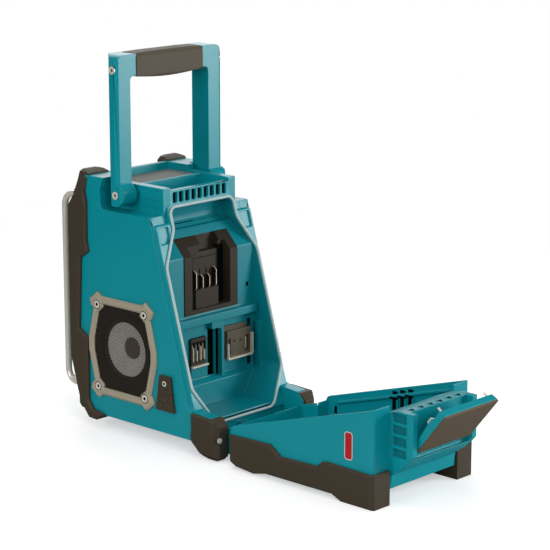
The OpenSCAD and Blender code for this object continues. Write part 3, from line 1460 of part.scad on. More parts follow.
module latch_lever() {
    color(teal)
    difference() {
        on_lever() {
            along_x(-lever_half, lever_half)
            polygon([
                [3, pad_t], [lever_len, pad_t], [lever_len, pad_t + 1.6], [lever_len - 1.6, 10.5],
                [lever_len - 3.2, 10.5], [lever_len - 3.2, plate_v], [3, plate_v]
            ]);
            both_sides()
            along_x(lever_half - 3, lever_half)
            polygon([
                [1, 5], [2.2, 8.4], [44, 12], [48, 9.5], [lever_len - 3, 10.5], [lever_len - 3, 5],
                [6, plate_v - 1]
            ]);
            translate([0, 4, 5]) pin_x(-lever_half, lever_half, 0, 0, barrel_r);
        }
        pin_x(-far, far, latch_y, latch_z, latch_pin_d / 2 + bore_fit);
    }
}
module latch_pad() {
    color([0.37, 0.34, 0.28])
    on_lever()
    along_x(-lever_half, lever_half)
    polygon([[2, 0.6], [2.6, 0], [lever_len - 0.6, 0], [lever_len, 0.6], [lever_len, pad_t], [7, pad_t],
        [6, 1.2], [2, 1.2]]);
}
module latch_hooks() {
    color(steel)
    on_lever()
    both_sides()
    along_x(hook_x, hook_x + 2)
    polygon([
        [28, plate_v], [34, 15.5], [40, 15.5], [46, 9], [54.5, 9], [54.5, 16], [56.2, 16], [56.2, plate_v]
    ]);
}
module latch_pin() {
    color(steel) pin_x(-latch_block_half + 1.5, latch_block_half - 1.5, latch_y, latch_z, latch_pin_d / 2);
}

main_housing();
hinge_knuckles();
battery_bay();
main_terminal();
main_blades();
narrow_terminal();
wide_terminal();
small_blades();
seal_gasket();
tray_mat();
front_panel();
display_lens();
display_module();
control_board();
main_board();
power_board();
front_bumper_right();
front_bumper_left();
guard_pipe_right();
guard_pipe_left();
front_foot();
rear_foot_right();
rear_foot_left();
rear_foot_screws();
speaker_frame_right();
speaker_frame_left();
frame_bolts();
speaker_grille_right();
speaker_grille_left();
speaker_cone_right();
speaker_cone_left();
speaker_basket_right();
speaker_basket_left();
port_panel();
port_tab();
port_screw();
hinge_pin();
pivot_bolts();
port_flap();
power_button();
preset_button_1();
preset_button_2();
preset_button_3();
preset_button_4();
tuning_knob();
handle_arm_right();
handle_arm_left();
handle_core();
handle_grip();
handle_top_bolts();
cover_shell();
cover_bumper_right();
cover_bumper_left();
cover_badge();
latch_pin();
latch_lever();
latch_pad();
latch_hooks();
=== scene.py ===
# %% [markdown]
# # A jobsite radio with its battery cover open
#
# This lesson dresses a jobsite radio that was first built as exact solids.
# The solids come in as a fixed frame. Their places are final, so each new piece
# is worked out in the same coordinates, in metres, and lands where it belongs.
# What the lesson adds is what the eye looks for: rounded mould edges, a
# perforated speaker grille, a soft seal, bent pipes, and finishes with grain
# and wear.

import json
import math

import bmesh
import bpy
import numpy as np
from mathutils import Matrix, Vector


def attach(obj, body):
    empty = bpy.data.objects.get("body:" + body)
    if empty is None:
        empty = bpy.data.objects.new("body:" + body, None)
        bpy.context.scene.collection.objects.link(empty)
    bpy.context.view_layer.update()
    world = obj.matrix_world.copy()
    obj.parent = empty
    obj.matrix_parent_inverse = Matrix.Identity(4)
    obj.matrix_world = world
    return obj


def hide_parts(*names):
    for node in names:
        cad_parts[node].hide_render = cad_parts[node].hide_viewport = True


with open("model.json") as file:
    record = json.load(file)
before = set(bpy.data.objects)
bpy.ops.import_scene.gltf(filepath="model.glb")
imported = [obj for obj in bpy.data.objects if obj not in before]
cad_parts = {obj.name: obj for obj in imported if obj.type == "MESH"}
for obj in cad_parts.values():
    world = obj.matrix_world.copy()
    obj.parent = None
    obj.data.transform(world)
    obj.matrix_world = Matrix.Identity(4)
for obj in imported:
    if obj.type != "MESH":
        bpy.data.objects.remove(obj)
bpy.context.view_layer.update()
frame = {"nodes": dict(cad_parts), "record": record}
nodes = frame["nodes"]
body_of = {n: b for b, members in frame["record"]["behaviour"]["bodies"].items() for n in members}
MM = 0.001
BOTH_SIDES = ((1, "right"), (-1, "left"))

# %% [markdown]
# ## The camera
#
# The view is a long lens from the rear right corner, a little above the deck.
# A long lens keeps parallel edges nearly parallel. The camera is made first, and
# two directions, to its right and upward, set how it is turned.

# %% Camera
CAMERA_PLACE = (1.5923, 1.4940, 0.7051)
CAMERA_RIGHT = (-0.6837, 0.7298, 0.0)
CAMERA_UP = (-0.1654, -0.1550, 0.9740)
LENS_MM = 135.7

camera = bpy.data.objects.new("camera", bpy.data.cameras.new("camera"))
bpy.context.scene.collection.objects.link(camera)
bpy.context.scene.camera = camera
camera.data.lens = LENS_MM
camera.data.sensor_width = 36.0
side = Vector(CAMERA_RIGHT).normalized()
rise = Vector(CAMERA_UP)
rise = (rise - side * rise.dot(side)).normalized()
turn = Matrix((side, rise, side.cross(rise))).transposed()
camera.matrix_world = Matrix.Translation(CAMERA_PLACE) @ turn.to_4x4()
print("camera looks along", [round(v, 3) for v in turn @ Vector((0, 0, -1))])

# %% [markdown]
# ## Light and floor
#
# A plastic housing shows its form through broad, soft highlights. Large area
# lights give those, one on each side and one overhead. The backdrop is white to
# the eye only: the light that falls on the radio is set by the lamps and by a
# much weaker sky, so that a colour renders about as it is written.

# %% Node helpers
WHITE = (1, 1, 1, 1)


def new_tree(owner):
    """Clears an owner's node tree and returns it."""
    owner.use_nodes = True
    owner.node_tree.nodes.clear()
    return owner.node_tree


def math_node(tree, operation, a=None, b=None, clamp=False):
    """A Math node whose inputs are sockets or numbers."""
    node = tree.nodes.new("ShaderNodeMath")
    node.operation = operation
    node.use_clamp = clamp
    for slot_, value in zip(node.inputs, (a, b)):
        if value is None:
            continue
        if isinstance(value, (int, float)):
            slot_.default_value = value
        else:
            tree.links.new(value, slot_)
    return node.outputs[0]

def map_range(tree, value, to_min, to_max, from_min=0.0, from_max=1.0, curve="LINEAR"):
    """A Map Range node that reads a socket."""
    node = tree.nodes.new("ShaderNodeMapRange")
    node.interpolation_type = curve
    ends = {"From Min": from_min, "From Max": from_max, "To Min": to_min, "To Max": to_max}
    for label, number in ends.items():
        node.inputs[label].default_value = number
    tree.links.new(value, node.inputs["Value"])
    return node.outputs[0]


def object_place(tree):
    """The Object coordinates of the point."""
    return tree.nodes.new("ShaderNodeTexCoord").outputs["Object"]


def face_normal(tree):
    """The shaded normal of the surface."""
    return tree.nodes.new("ShaderNodeNewGeometry").outputs["Normal"]


def ray_kind(tree, kind):
    """1 for light rays of one kind, else 0."""
    return tree.nodes.new("ShaderNodeLightPath").outputs[kind]


def seen_by_eye(tree):
    """1 for camera and transmission rays, else 0."""
    return math_node(tree, "MAXIMUM", ray_kind(tree, "Is Camera Ray"), ray_kind(tree, "Is Transmission Ray"))


print("node helpers ready")

# %% Sky
SKY_LEVEL = 0.22
SKY_IN_GLOSS = 0.12

world = bpy.data.worlds.new("studio")
bpy.context.scene.world = world
tree = new_tree(world)
sky, white = tree.nodes.new("ShaderNodeBackground"), tree.nodes.new("ShaderNodeBackground")
for ground in (sky, white):
    ground.inputs["Color"].default_value = WHITE
sky_level = map_range(tree, ray_kind(tree, "Is Glossy Ray"), SKY_LEVEL, SKY_IN_GLOSS)
tree.links.new(sky_level, sky.inputs["Strength"])
mix = tree.nodes.new("ShaderNodeMixShader")
for socket, source in zip(mix.inputs, (seen_by_eye(tree), sky.outputs[0], white.outputs[0])):
    tree.links.new(source, socket)
world_out = tree.nodes.new("ShaderNodeOutputWorld")
tree.links.new(mix.outputs[0], world_out.inputs["Surface"])
bpy.context.scene.view_settings.view_transform = "Standard"
print("sky strength:", SKY_LEVEL, "in reflections:", SKY_IN_GLOSS)

# %% Lamps
MIDDLE = (0.0, -0.05, 0.15)


def soft_light(name, place, aim, size, watts):
    """A square area light at place, turned to aim at a point."""
    light = bpy.data.lights.new(name, "AREA")
    light.shape = "SQUARE"
    light.size = size
    light.energy = watts
    lamp = bpy.data.objects.new(name, light)
    lamp.location = place
    lamp.rotation_euler = (Vector(aim) - Vector(place)).to_track_quat("-Z", "Y").to_euler()
    bpy.context.scene.collection.objects.link(lamp)


soft_light("key", (1.2, 1.9, 1.3), MIDDLE, 1.0, 18)
soft_light("side", (2.1, -0.1, 0.8), MIDDLE, 1.0, 16)
soft_light("top", (0.0, 0.0, 2.0), MIDDLE, 1.2, 8)
soft_light("gloss", (-1.45, 1.45, 0.42), MIDDLE, 0.8, 26)
soft_light("back", (-1.2, -1.6, 1.2), MIDDLE, 1.4, 14)

# %% [markdown]
# The floor is grey paper near the radio, so that it takes a soft shadow. Further
# out it fades into a white glow that only the eye sees, so no horizon shows and
# no extra light reaches the radio.

# %% Floor
FLOOR_REACH = 30.0
NEAR_M, FAR_M = 0.45, 1.3
NEAR_GLOW, PAPER, PAPER_IN_GLOSS = 0.46, 0.86, 0.25

floor_corners = [(x * FLOOR_REACH, y * FLOOR_REACH, 0) for x, y in ((-1, -1), (1, -1), (1, 1), (-1, 1))]
floor_mesh = bpy.data.meshes.new("studio_floor")
floor_mesh.from_pydata(floor_corners, [], [(0, 1, 2, 3)])
studio_floor = bpy.data.objects.new("studio_floor", floor_mesh)
bpy.context.scene.collection.objects.link(studio_floor)
floor_paint = bpy.data.materials.new("studio_floor_paint")
tree = new_tree(floor_paint)
away = tree.nodes.new("ShaderNodeVectorMath")
away.operation = "LENGTH"
tree.links.new(object_place(tree), away.inputs[0])
fade = map_range(tree, away.outputs["Value"], 0.0, 1.0, NEAR_M, FAR_M, "SMOOTHSTEP")
glow = tree.nodes.new("ShaderNodeEmission")
glow.inputs["Color"].default_value = WHITE
glow_level = math_node(tree, "MULTIPLY", map_range(tree, fade, NEAR_GLOW, 1.0), seen_by_eye(tree))
tree.links.new(glow_level, glow.inputs["Strength"])
paper = tree.nodes.new("ShaderNodeBsdfDiffuse")
in_gloss = map_range(tree, ray_kind(tree, "Is Glossy Ray"), 1.0, PAPER_IN_GLOSS)
grey = math_node(tree, "MULTIPLY", map_range(tree, fade, PAPER, 0.0), in_gloss)
tree.links.new(grey, paper.inputs["Color"])
both = tree.nodes.new("ShaderNodeAddShader")
tree.links.new(paper.outputs[0], both.inputs[0])
tree.links.new(glow.outputs[0], both.inputs[1])
floor_out = tree.nodes.new("ShaderNodeOutputMaterial")
tree.links.new(both.outputs[0], floor_out.inputs["Surface"])
floor_mesh.materials.append(floor_paint)
print("floor: grey within", NEAR_M, "m, white beyond", FAR_M, "m")

# %% [markdown]
# ## Finishes
#
# Moulded plastic is never one flat colour. The tool leaves a fine spark-eroded
# grain, thick and thin places cool differently and mottle a little, and corners
# get rubbed. Three small node groups hold those effects, so that every material
# uses the same recipe with its own strengths.
#
# - grain: two noises, one fine for the mould texture, one broad for mottling
# - rubbed edge: how far a rounded normal leaves the true one, broken by noise
# - dust: faces that look up, broken by noise

# %% Colours, groups and noise


def srgb(r, g, b):
    """A colour written in 0 to 255 display values, as linear light."""
    c = np.array([r, g, b]) / 255
    return tuple(np.where(c <= 0.04045, c / 12.92, ((c + 0.055) / 1.055) ** 2.4)) + (1.0,)


def new_group(name, inputs, outputs):
    """An empty shader group with float sockets, and its two end nodes."""
    group = bpy.data.node_groups.new(name, "ShaderNodeTree")
    for label, value in inputs:
        socket = group.interface.new_socket(name=label, in_out="INPUT", socket_type="NodeSocketFloat")
        socket.default_value = value
    for label in outputs:
        group.interface.new_socket(name=label, in_out="OUTPUT", socket_type="NodeSocketFloat")
    return group, group.nodes.new("NodeGroupInput"), group.nodes.new("NodeGroupOutput")


def noise_node(tree, vector, scale, detail=3.0, rough=0.55):
    """A noise texture; scale is a number or a socket."""
    node = tree.nodes.new("ShaderNodeTexNoise")
    node.inputs["Detail"].default_value = detail
    node.inputs["Roughness"].default_value = rough
    tree.links.new(vector, node.inputs["Vector"])
    if isinstance(scale, (int, float)):
        node.inputs["Scale"].default_value = scale
    else:
        tree.links.new(scale, node.inputs["Scale"])
    return node.outputs["Fac"]


print("effect helpers ready")

# %% Mould grain
MOTTLE_SCALE = 14.0

grain, grain_in, grain_out = new_group("mould_grain", [("Fineness", 900.0)], ["Height", "Mottle"])
place = object_place(grain)
fine = noise_node(grain, place, grain_in.outputs["Fineness"], 2.0)
grain.links.new(fine, grain_out.inputs["Height"])
grain.links.new(noise_node(grain, place, MOTTLE_SCALE, 4.0, 0.6), grain_out.inputs["Mottle"])
print("grain nodes:", len(grain.nodes))

# %% Rubbed edges
BEND_GAIN, SPOT_SCALE, SPOT_START, SPOT_GAIN = 5.0, 120.0, 0.35, 2.6

rubbed, rubbed_in, rubbed_out = new_group("rubbed_edge", [("Reach", 0.0012)], ["Mask"])
round_off = rubbed.nodes.new("ShaderNodeBevel")
round_off.samples = 4
rubbed.links.new(rubbed_in.outputs["Reach"], round_off.inputs["Radius"])
apart = rubbed.nodes.new("ShaderNodeVectorMath")
apart.operation = "DOT_PRODUCT"
rubbed.links.new(round_off.outputs[0], apart.inputs[0])
rubbed.links.new(face_normal(rubbed), apart.inputs[1])
bend = math_node(rubbed, "SUBTRACT", 1.0, apart.outputs["Value"])
bend = math_node(rubbed, "MULTIPLY", bend, BEND_GAIN, True)
spots = noise_node(rubbed, object_place(rubbed), SPOT_SCALE, 4.0, 0.7)
spots = math_node(rubbed, "MULTIPLY", math_node(rubbed, "SUBTRACT", spots, SPOT_START), SPOT_GAIN, True)
rubbed.links.new(math_node(rubbed, "MULTIPLY", bend, spots), rubbed_out.inputs["Mask"])
print("rubbed edge nodes:", len(rubbed.nodes))

# %% Settled dust
LEVEL_POWER, DRIFT_SCALE = 3.0, 60.0
DUST = (196, 190, 178)

dust, dust_in, dust_out = new_group("settled_dust", [("Amount", 0.2)], ["Mask"])
upward = dust.nodes.new("ShaderNodeSeparateXYZ")
dust.links.new(face_normal(dust), upward.inputs[0])
flat_top = math_node(dust, "POWER", math_node(dust, "MAXIMUM", upward.outputs["Z"], 0.0), LEVEL_POWER)
drift = noise_node(dust, object_place(dust), DRIFT_SCALE, 5.0, 0.7)
film = math_node(dust, "MULTIPLY", math_node(dust, "MULTIPLY", flat_top, drift), dust_in.outputs["Amount"])
dust.links.new(film, dust_out.inputs["Mask"])
print("effect groups:", [g.name for g in bpy.data.node_groups])

# %% A finish from the shared effects
GRAIN_HEIGHT = 0.0002


def use_group(tree, group, **values):
    """Places a group in a tree with its own input values."""
    node = tree.nodes.new("ShaderNodeGroup")
    node.node_tree = group
    for label, value in values.items():
        node.inputs[label].default_value = value
    return node


def mix_colour(tree, factor, a, b):
    """Mixes two colours, each a socket or a tuple, by a factor socket."""
    node = tree.nodes.new("ShaderNodeMix")
    node.data_type = "RGBA"
    tree.links.new(factor, node.inputs[0])
    for slot_, value in ((node.inputs[6], a), (node.inputs[7], b)):
        if isinstance(value, tuple):
            slot_.default_value = value
        else:
            tree.links.new(value, slot_)
    return node.outputs[2]


def finish(name, colour, roughness, shade=0.9, fineness=900.0, depth=0.03, spread=0.08, wear=0.0,
           worn=None, dusty=0.0, metallic=0.0, coat=0.0, gloss=0.5):
    """A material: mottled colour, grain in roughness and bump, rubbed edges and a trace of dust.

    Colours are display values. The roughness varies by spread, and depth is the strength of the bump.
    """
    material = bpy.data.materials.new(name)
    bright = srgb(*colour)
    material.diffuse_color = bright
    tree = new_tree(material)
    surface = tree.nodes.new("ShaderNodeBsdfPrincipled")
    surface.inputs["Metallic"].default_value = metallic
    surface.inputs["Coat Weight"].default_value = coat
    surface.inputs["Specular IOR Level"].default_value = gloss
    skin = use_group(tree, grain, Fineness=fineness)
    dark = tuple(c * shade for c in bright[:3]) + (1.0,)
    paint = mix_colour(tree, skin.outputs["Mottle"], dark, bright)
    if wear:
        edge = use_group(tree, rubbed)
        amount = math_node(tree, "MULTIPLY", edge.outputs["Mask"], wear)
        paint = mix_colour(tree, amount, paint, srgb(*worn))
    if dusty:
        settled = use_group(tree, dust, Amount=dusty)
        paint = mix_colour(tree, settled.outputs["Mask"], paint, srgb(*DUST))
    tree.links.new(paint, surface.inputs["Base Color"])
    low = math_node(tree, "MULTIPLY", skin.outputs["Mottle"], spread)
    tree.links.new(math_node(tree, "ADD", low, roughness - spread / 2, True), surface.inputs["Roughness"])
    bump = tree.nodes.new("ShaderNodeBump")
    bump.inputs["Strength"].default_value = depth
    bump.inputs["Distance"].default_value = GRAIN_HEIGHT
    tree.links.new(skin.outputs["Height"], bump.inputs["Height"])
    tree.links.new(bump.outputs["Normal"], surface.inputs["Normal"])
    out = tree.nodes.new("ShaderNodeOutputMaterial")
    tree.links.new(surface.outputs[0], out.inputs["Surface"])
    return material


print("finish recipe ready")

# %% [markdown]
# ### The finishes of this radio
#
# The housing is one teal plastic. The bay inside it is the same plastic, made
# darker with painted shade. Bumpers, feet and grip are a brown-black rubber,
# matt and a little dusty. The speaker frame is a warm grey plastic, and the
# guards and fasteners are plated steel.

# %% Plastics
teal = finish("teal_housing", (0, 146, 158), 0.32, wear=0.14, worn=(70, 178, 184), depth=0.25, gloss=0.35)
# painted shade: the housing teal made darker for the shade inside the bay
shaded_bay_teal = finish("teal_bay_painted_shade", (0, 128, 140), 0.34, wear=0.10, worn=(60, 160, 166), depth=0.25, gloss=0.35)
# painted shade: the teal made darker for the floors of the ladder recesses
recess_shade_teal = finish("recess_shade_teal", (0, 112, 122), 0.5, depth=0.2, gloss=0.2)
terminal_black = finish("terminal_plastic", (48, 41, 30), 0.5, depth=0.3, wear=0.25, worn=(92, 84, 70),
                        gloss=0.22)
terminal_brown = finish("small_terminal_plastic", (84, 76, 62), 0.45, depth=0.3, wear=0.2,
                        worn=(120, 112, 96), gloss=0.25)
frame_grey = finish("speaker_frame_plastic", (166, 157, 136), 0.42, depth=0.25, wear=0.3,
                    worn=(204, 196, 178), gloss=0.4)
dark_plastic = finish("dark_plastic", (34, 34, 33), 0.42, depth=0.25, wear=0.3, worn=(90, 90, 88))
window_tint = finish("display_window", (26, 30, 32), 0.12, depth=0.02, coat=0.6)
badge_red = finish("badge_red", (182, 16, 30), 0.28, depth=0.05, coat=0.4)
# painted shade: a nearly black paint that stands for the shade on the floors of slots, sockets and holes
shadow_paint = finish("painted_recess_shade", (7, 14, 15), 0.9, depth=0.05, gloss=0.05)
print("materials so far:", len(bpy.data.materials))

# %% Rubbers
brown_rubber = finish("brown_rubber", (66, 57, 43), 0.52, fineness=1400.0, depth=0.5, wear=0.8,
                      worn=(120, 110, 92), dusty=0.06, spread=0.14, gloss=0.3)
grip_rubber = finish("grip_rubber", (84, 76, 62), 0.62, fineness=1500.0, depth=0.6, dusty=0.1, spread=0.12,
                     gloss=0.35)
pad_rubber = finish("latch_pad_rubber", (96, 84, 66), 0.56, fineness=1400.0, depth=0.4, spread=0.1, gloss=0.3)
seal_paint = finish("seal_rubber", (176, 200, 198), 0.50, depth=0.2, spread=0.1)
mat_rubber = finish("tray_mat_rubber", (112, 117, 110), 0.7, fineness=700.0, depth=0.8, dusty=0.2)
key_rubber = finish("key_rubber", (58, 58, 56), 0.56, fineness=1500.0, depth=0.3)
print("materials so far:", len(bpy.data.materials))

# %% Speaker, board and print
mesh_paint = finish("speaker_mesh_paint", (52, 45, 36), 0.5, depth=0.1, gloss=0.3)
# dark paint of the baskets, the port panel and the display; on the mouth plates it is also painted shade
basket_paint_and_shade = finish("basket_paint_and_shade", (30, 28, 26), 0.55, depth=0.2)
# partly painted light: the cone's pale paper is lightened to near white to make up for the shade behind the
# sheet
cone_paper_and_painted_light = finish("cone_paper_and_painted_light", (255, 250, 240), 0.75, fineness=500.0, depth=0.8, shade=0.85)
roll_foam = finish("surround_foam", (40, 36, 32), 0.8, fineness=700.0, depth=0.6)
cap_paper = finish("dust_cap_paper", (110, 100, 90), 0.6, fineness=500.0, depth=0.6)
board_green = finish("circuit_board", (28, 92, 48), 0.35, depth=0.1, coat=0.3)
rim_white = finish("badge_rim", (214, 208, 204), 0.4, depth=0.05, spread=0.04)
screen_paint = finish("display_screen", (158, 170, 146), 0.35, depth=0.02, spread=0.04)
screen_ink = finish("display_ink", (32, 36, 32), 0.4, depth=0.02, spread=0.04)
print_white = finish("printed_white", (224, 222, 214), 0.5, depth=0.05, spread=0.04)
print("materials so far:", len(bpy.data.materials))

# %% Metals
SIDE_POWER = 3.0
pipe_metal = finish("guard_pipe_steel", (244, 238, 226), 0.26, metallic=0.35, depth=0.05, spread=0.14,
                    shade=0.94)
bolt_metal = finish("bolt_steel", (240, 234, 220), 0.28, metallic=0.25, depth=0.06, spread=0.2, shade=0.85)
contact_metal = finish("contact_plating", (226, 218, 200), 0.3, metallic=0.4, depth=0.05, spread=0.16)


def blade_finish(name, bright, flat_shade):
    """Contact plating with painted shade on the flats, which face along X, so that only the edges stay
    bright.
    """
    material = finish(name, bright, 0.3, metallic=0.4, depth=0.05, spread=0.16)
    tree = material.node_tree
    surface = next(n for n in tree.nodes if n.type == "BSDF_PRINCIPLED")
    # painted shade: the more a face turns along X, the more the dark colour takes over
    split = tree.nodes.new("ShaderNodeSeparateXYZ")
    tree.links.new(face_normal(tree), split.inputs[0])
    flat = math_node(tree, "POWER", math_node(tree, "ABSOLUTE", split.outputs["X"]), SIDE_POWER, True)
    painted = surface.inputs["Base Color"].links[0].from_socket
    tree.links.new(mix_colour(tree, flat, painted, srgb(*flat_shade)), surface.inputs["Base Color"])
    return material


shaded_blade_metal = blade_finish("blade_plating_painted_shade", (236, 226, 206), (40, 35, 28))
print("finishes:", len(bpy.data.materials) - 1)

# %% [markdown]
# ## Rounded mould edges
#
# No moulded edge is razor sharp. A CAD node comes in as loose triangles, so a
# copy is merged, its flat triangles are joined, and then a narrow Bevel rounds
# every sharp edge. Where a short edge leaves little room, the cut beside it gets
# narrower, so that faces never cross. Bumpers and feet first get a wide flat
# chamfer on the edges of their outer face. Weighted normals keep the flats flat
# and let only the rounded strips catch the light. The copy replaces its node.

# %% Room for a cut
ROOM_SHARE = 0.42
STRAIGHT_ON = math.radians(30)
SHORTEST_M = 1e-9


def room_beside(edge, width):
    """Share of a cut's width that fits: min(1, ROOM_SHARE s / w).

    s is the length of the shortest edge that meets this one at a corner that turns more than STRAIGHT_ON.
    """
    room = 1.0
    for loop in edge.link_loops:
        before, after = loop.link_loop_prev, loop.link_loop_next
        for other, corner in ((before.edge, loop.vert), (after.edge, after.vert)):
            along = edge.other_vert(corner).co - corner.co
            across = other.other_vert(corner).co - corner.co
            if min(along.length, across.length) < SHORTEST_M:
                continue
            if math.pi - along.angle(across) > STRAIGHT_ON:
                room = min(room, ROOM_SHARE * across.length / width)
    return room


print("room for a cut:", ROOM_SHARE, "of the edge beside it")

# %% Welded meshes with cut widths
MERGE_M, ON_FACE_M = 2e-6, 1e-5
FLAT_DEGREES, SMOOTH_DEGREES = 0.7, 9.0
CHAMFER_DEGREES, CHAMFER_EDGE_M = 38, 0.0012


def weld(mesh, width, least, chamfer):
    """Merges loose triangles, joins the flat ones and marks how wide each edge may be cut."""
    bm = bmesh.new()
    bm.from_mesh(mesh)
    bmesh.ops.remove_doubles(bm, verts=bm.verts, dist=MERGE_M)
    bmesh.ops.dissolve_limit(bm, angle_limit=math.radians(FLAT_DEGREES), verts=bm.verts, edges=bm.edges)
    round_mark = bm.edges.layers.float.new("round_share")
    chamfer_mark = bm.edges.layers.float.new("chamfer_share")
    outer = max(abs(v.co.x) for v in bm.verts) - ON_FACE_M
    for edge in bm.edges:
        if len(edge.link_faces) != 2:
            continue
        bend = math.degrees(edge.calc_face_angle(0))
        edge.smooth = bend < SMOOTH_DEGREES or bend > least
        if bend > least:
            edge[round_mark] = room_beside(edge, width)
        on_face = min(abs(v.co.x) for v in edge.verts) > outer
        cut_here = edge.is_convex and bend > CHAMFER_DEGREES and on_face
        if chamfer and cut_here and edge.calc_length() > CHAMFER_EDGE_M:
            edge[chamfer_mark] = room_beside(edge, chamfer)
    bmesh.ops.triangulate(bm, faces=[f for f in bm.faces if len(f.verts) > 4])
    bm.to_mesh(mesh)
    bm.free()


print("edges that bend less than", SMOOTH_DEGREES, "degrees stay smooth")

# %% Soft-edged copies
FLAT_WEIGHT = 80


def cut_edges(piece, name, width_mm, segments, method, weights):
    """A Bevel modifier without clamp or slide, because the weights hold it back."""
    cut = piece.modifiers.new(name, "BEVEL")
    cut.width = width_mm * MM
    cut.segments = segments
    cut.limit_method = method
    cut.edge_weight = weights
    cut.use_clamp_overlap = False
    cut.loop_slide = False
    return cut


def flats_stay_flat(piece):
    """Normals weighted by the size of the faces."""
    shade = piece.modifiers.new("flat faces stay flat", "WEIGHTED_NORMAL")
    shade.weight = FLAT_WEIGHT
    return shade


def soft_edged(node, width_mm, material, least, chamfer_mm):
    """A welded copy of a CAD node with rounded edges, riding where the node rides.

    A chamfer first cuts the edges of the face that looks sideways outward.
    """
    mesh = nodes[node].data.copy()
    mesh.name = node + "_moulded"
    weld(mesh, width_mm * MM, least, chamfer_mm * MM)
    mesh.materials.clear()
    mesh.materials.append(material)
    mesh.polygons.foreach_set("material_index", np.zeros(len(mesh.polygons), dtype=np.int32))
    mesh.polygons.foreach_set("use_smooth", np.ones(len(mesh.polygons), dtype=bool))
    piece = bpy.data.objects.new(node + "_moulded", mesh)
    bpy.context.scene.collection.objects.link(piece)
    if chamfer_mm:
        cut_edges(piece, "chamfer", chamfer_mm, 1, "WEIGHT", "chamfer_share")
    bevel = cut_edges(piece, "round", width_mm, 2, "ANGLE" if chamfer_mm else "WEIGHT", "round_share")
    bevel.angle_limit = math.radians(least)
    bevel.miter_outer = "MITER_ARC"
    flats_stay_flat(piece).keep_sharp = True
    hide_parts(node)
    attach(piece, body_of[node])


PRESETS = ["preset_button_1", "preset_button_2", "preset_button_3", "preset_button_4"]
# each row: material, rounding and chamfer in millimetres, nodes
MOULDED = [
    (teal, 0.7, 0.0, ["main_housing", "front_panel", "cover_shell"]),
    (teal, 0.4, 0.0, ["handle_arm_right", "handle_arm_left"]),
    (teal, 0.5, 0.0, ["hinge_knuckles", "latch_lever"]),
    (shaded_bay_teal, 0.6, 0.0, ["battery_bay"]),
    (terminal_black, 0.35, 0.0, ["main_terminal", "narrow_terminal"]),
    (terminal_brown, 0.35, 0.0, ["wide_terminal"]),
    (brown_rubber, 0.3, 2.4, ["front_bumper_right", "front_bumper_left"]),
    (brown_rubber, 0.3, 3.2, ["cover_bumper_right", "cover_bumper_left"]),
    (brown_rubber, 0.3, 2.0, ["rear_foot_right", "rear_foot_left"]),
    (brown_rubber, 0.5, 0.0, ["front_foot"]),
    (brown_rubber, 0.3, 0.0, ["port_tab", "port_flap"]),
    (pad_rubber, 0.5, 0.0, ["latch_pad"]),
    (grip_rubber, 0.8, 0.0, ["handle_grip"]),
    (mat_rubber, 0.4, 0.0, ["tray_mat"]),
    (badge_red, 0.25, 0.0, ["cover_badge"]),
    (shaded_blade_metal, 0.3, 0.0, ["main_blades"]),
    (contact_metal, 0.12, 0.0, ["small_blades"]),
    (bolt_metal, 0.3, 0.0, ["rear_foot_screws", "frame_bolts", "port_screw", "pivot_bolts",
                            "handle_top_bolts", "latch_hooks"]),
    (dark_plastic, 0.4, 0.0, ["tuning_knob"]),
    (key_rubber, 0.6, 0.0, ["power_button"] + PRESETS),
]
LEAST_DEGREES, LEAST_AFTER_CHAMFER = 24.0, 9.0
for material, width, chamfer, names in MOULDED:
    for name in names:
        soft_edged(name, width, material, LEAST_AFTER_CHAMFER if chamfer else LEAST_DEGREES, chamfer)

# %% Nodes that keep their own mesh
KEPT = {
    bolt_metal: ["hinge_pin", "latch_pin"],
    pipe_metal: ["handle_core"],
    board_green: ["control_board", "main_board", "power_board"],
    basket_paint_and_shade: ["speaker_basket_right", "speaker_basket_left", "port_panel", "display_module"],
    window_tint: ["display_lens"],
}
for material, names in KEPT.items():
    for name in names:
        nodes[name].data.materials.clear()
        nodes[name].data.materials.append(material)
print("kept nodes:", sum(map(len, KEPT.values())))

# %% [markdown]
# ## Pieces worked out as surfaces
#
# The seal, the pipes, the speakers and the small print of the front are not
# boxes with soft edges, so each gets a surface of its own. A surface is a grid
# of points: one direction runs along a path or round an axis, the other round
# a section. One helper turns any such grid into a closed mesh.

# %% Grid surfaces


def finished_piece(name, mesh, material, node, smooth=True):
    """Links a mesh as a piece with the body of a CAD node."""
    bm = bmesh.new()
    bm.from_mesh(mesh)
    bmesh.ops.recalc_face_normals(bm, faces=bm.faces)
    bm.to_mesh(mesh)
    bm.free()
    mesh.polygons.foreach_set("use_smooth", np.full(len(mesh.polygons), smooth))
    mesh.materials.append(material)
    piece = bpy.data.objects.new(name, mesh)
    bpy.context.scene.collection.objects.link(piece)
    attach(piece, body_of[node])
    return piece


def mesh_of(name, points, faces):
    """A mesh of points in millimetres."""
    mesh = bpy.data.meshes.new(name)
    mesh.from_pydata((points.reshape(-1, 3) * MM).tolist(), [], faces)
    return mesh


def grid_mesh(name, points, wrap_u=False, wrap_v=False, caps=False):
    """A mesh from an (n, m, 3) grid in millimetres; wrap joins the last row or column to the first."""
    n, m = points.shape[:2]
    index = np.arange(n * m).reshape(n, m)
    rows = np.vstack([index, index[:1]]) if wrap_u else index
    rows = np.hstack([rows, rows[:, :1]]) if wrap_v else rows
    quads = np.stack([rows[:-1, :-1], rows[1:, :-1], rows[1:, 1:], rows[:-1, 1:]], axis=-1).reshape(-1, 4)
    faces = quads.tolist()
    if caps:
        faces += [index[0].tolist(), index[-1].tolist()]
    return mesh_of(name, points, faces)


def joined(name, meshes):
    """One mesh of several, which it removes."""
    bm = bmesh.new()
    for mesh in meshes:
        bm.from_mesh(mesh)
        bpy.data.meshes.remove(mesh)
    whole = bpy.data.meshes.new(name)
    bm.to_mesh(whole)
    bm.free()
    return whole


def at_x(x, yz):
    """Points (x, y, z) of an array of (y, z)."""
    return np.column_stack([np.full(len(yz), x), yz])


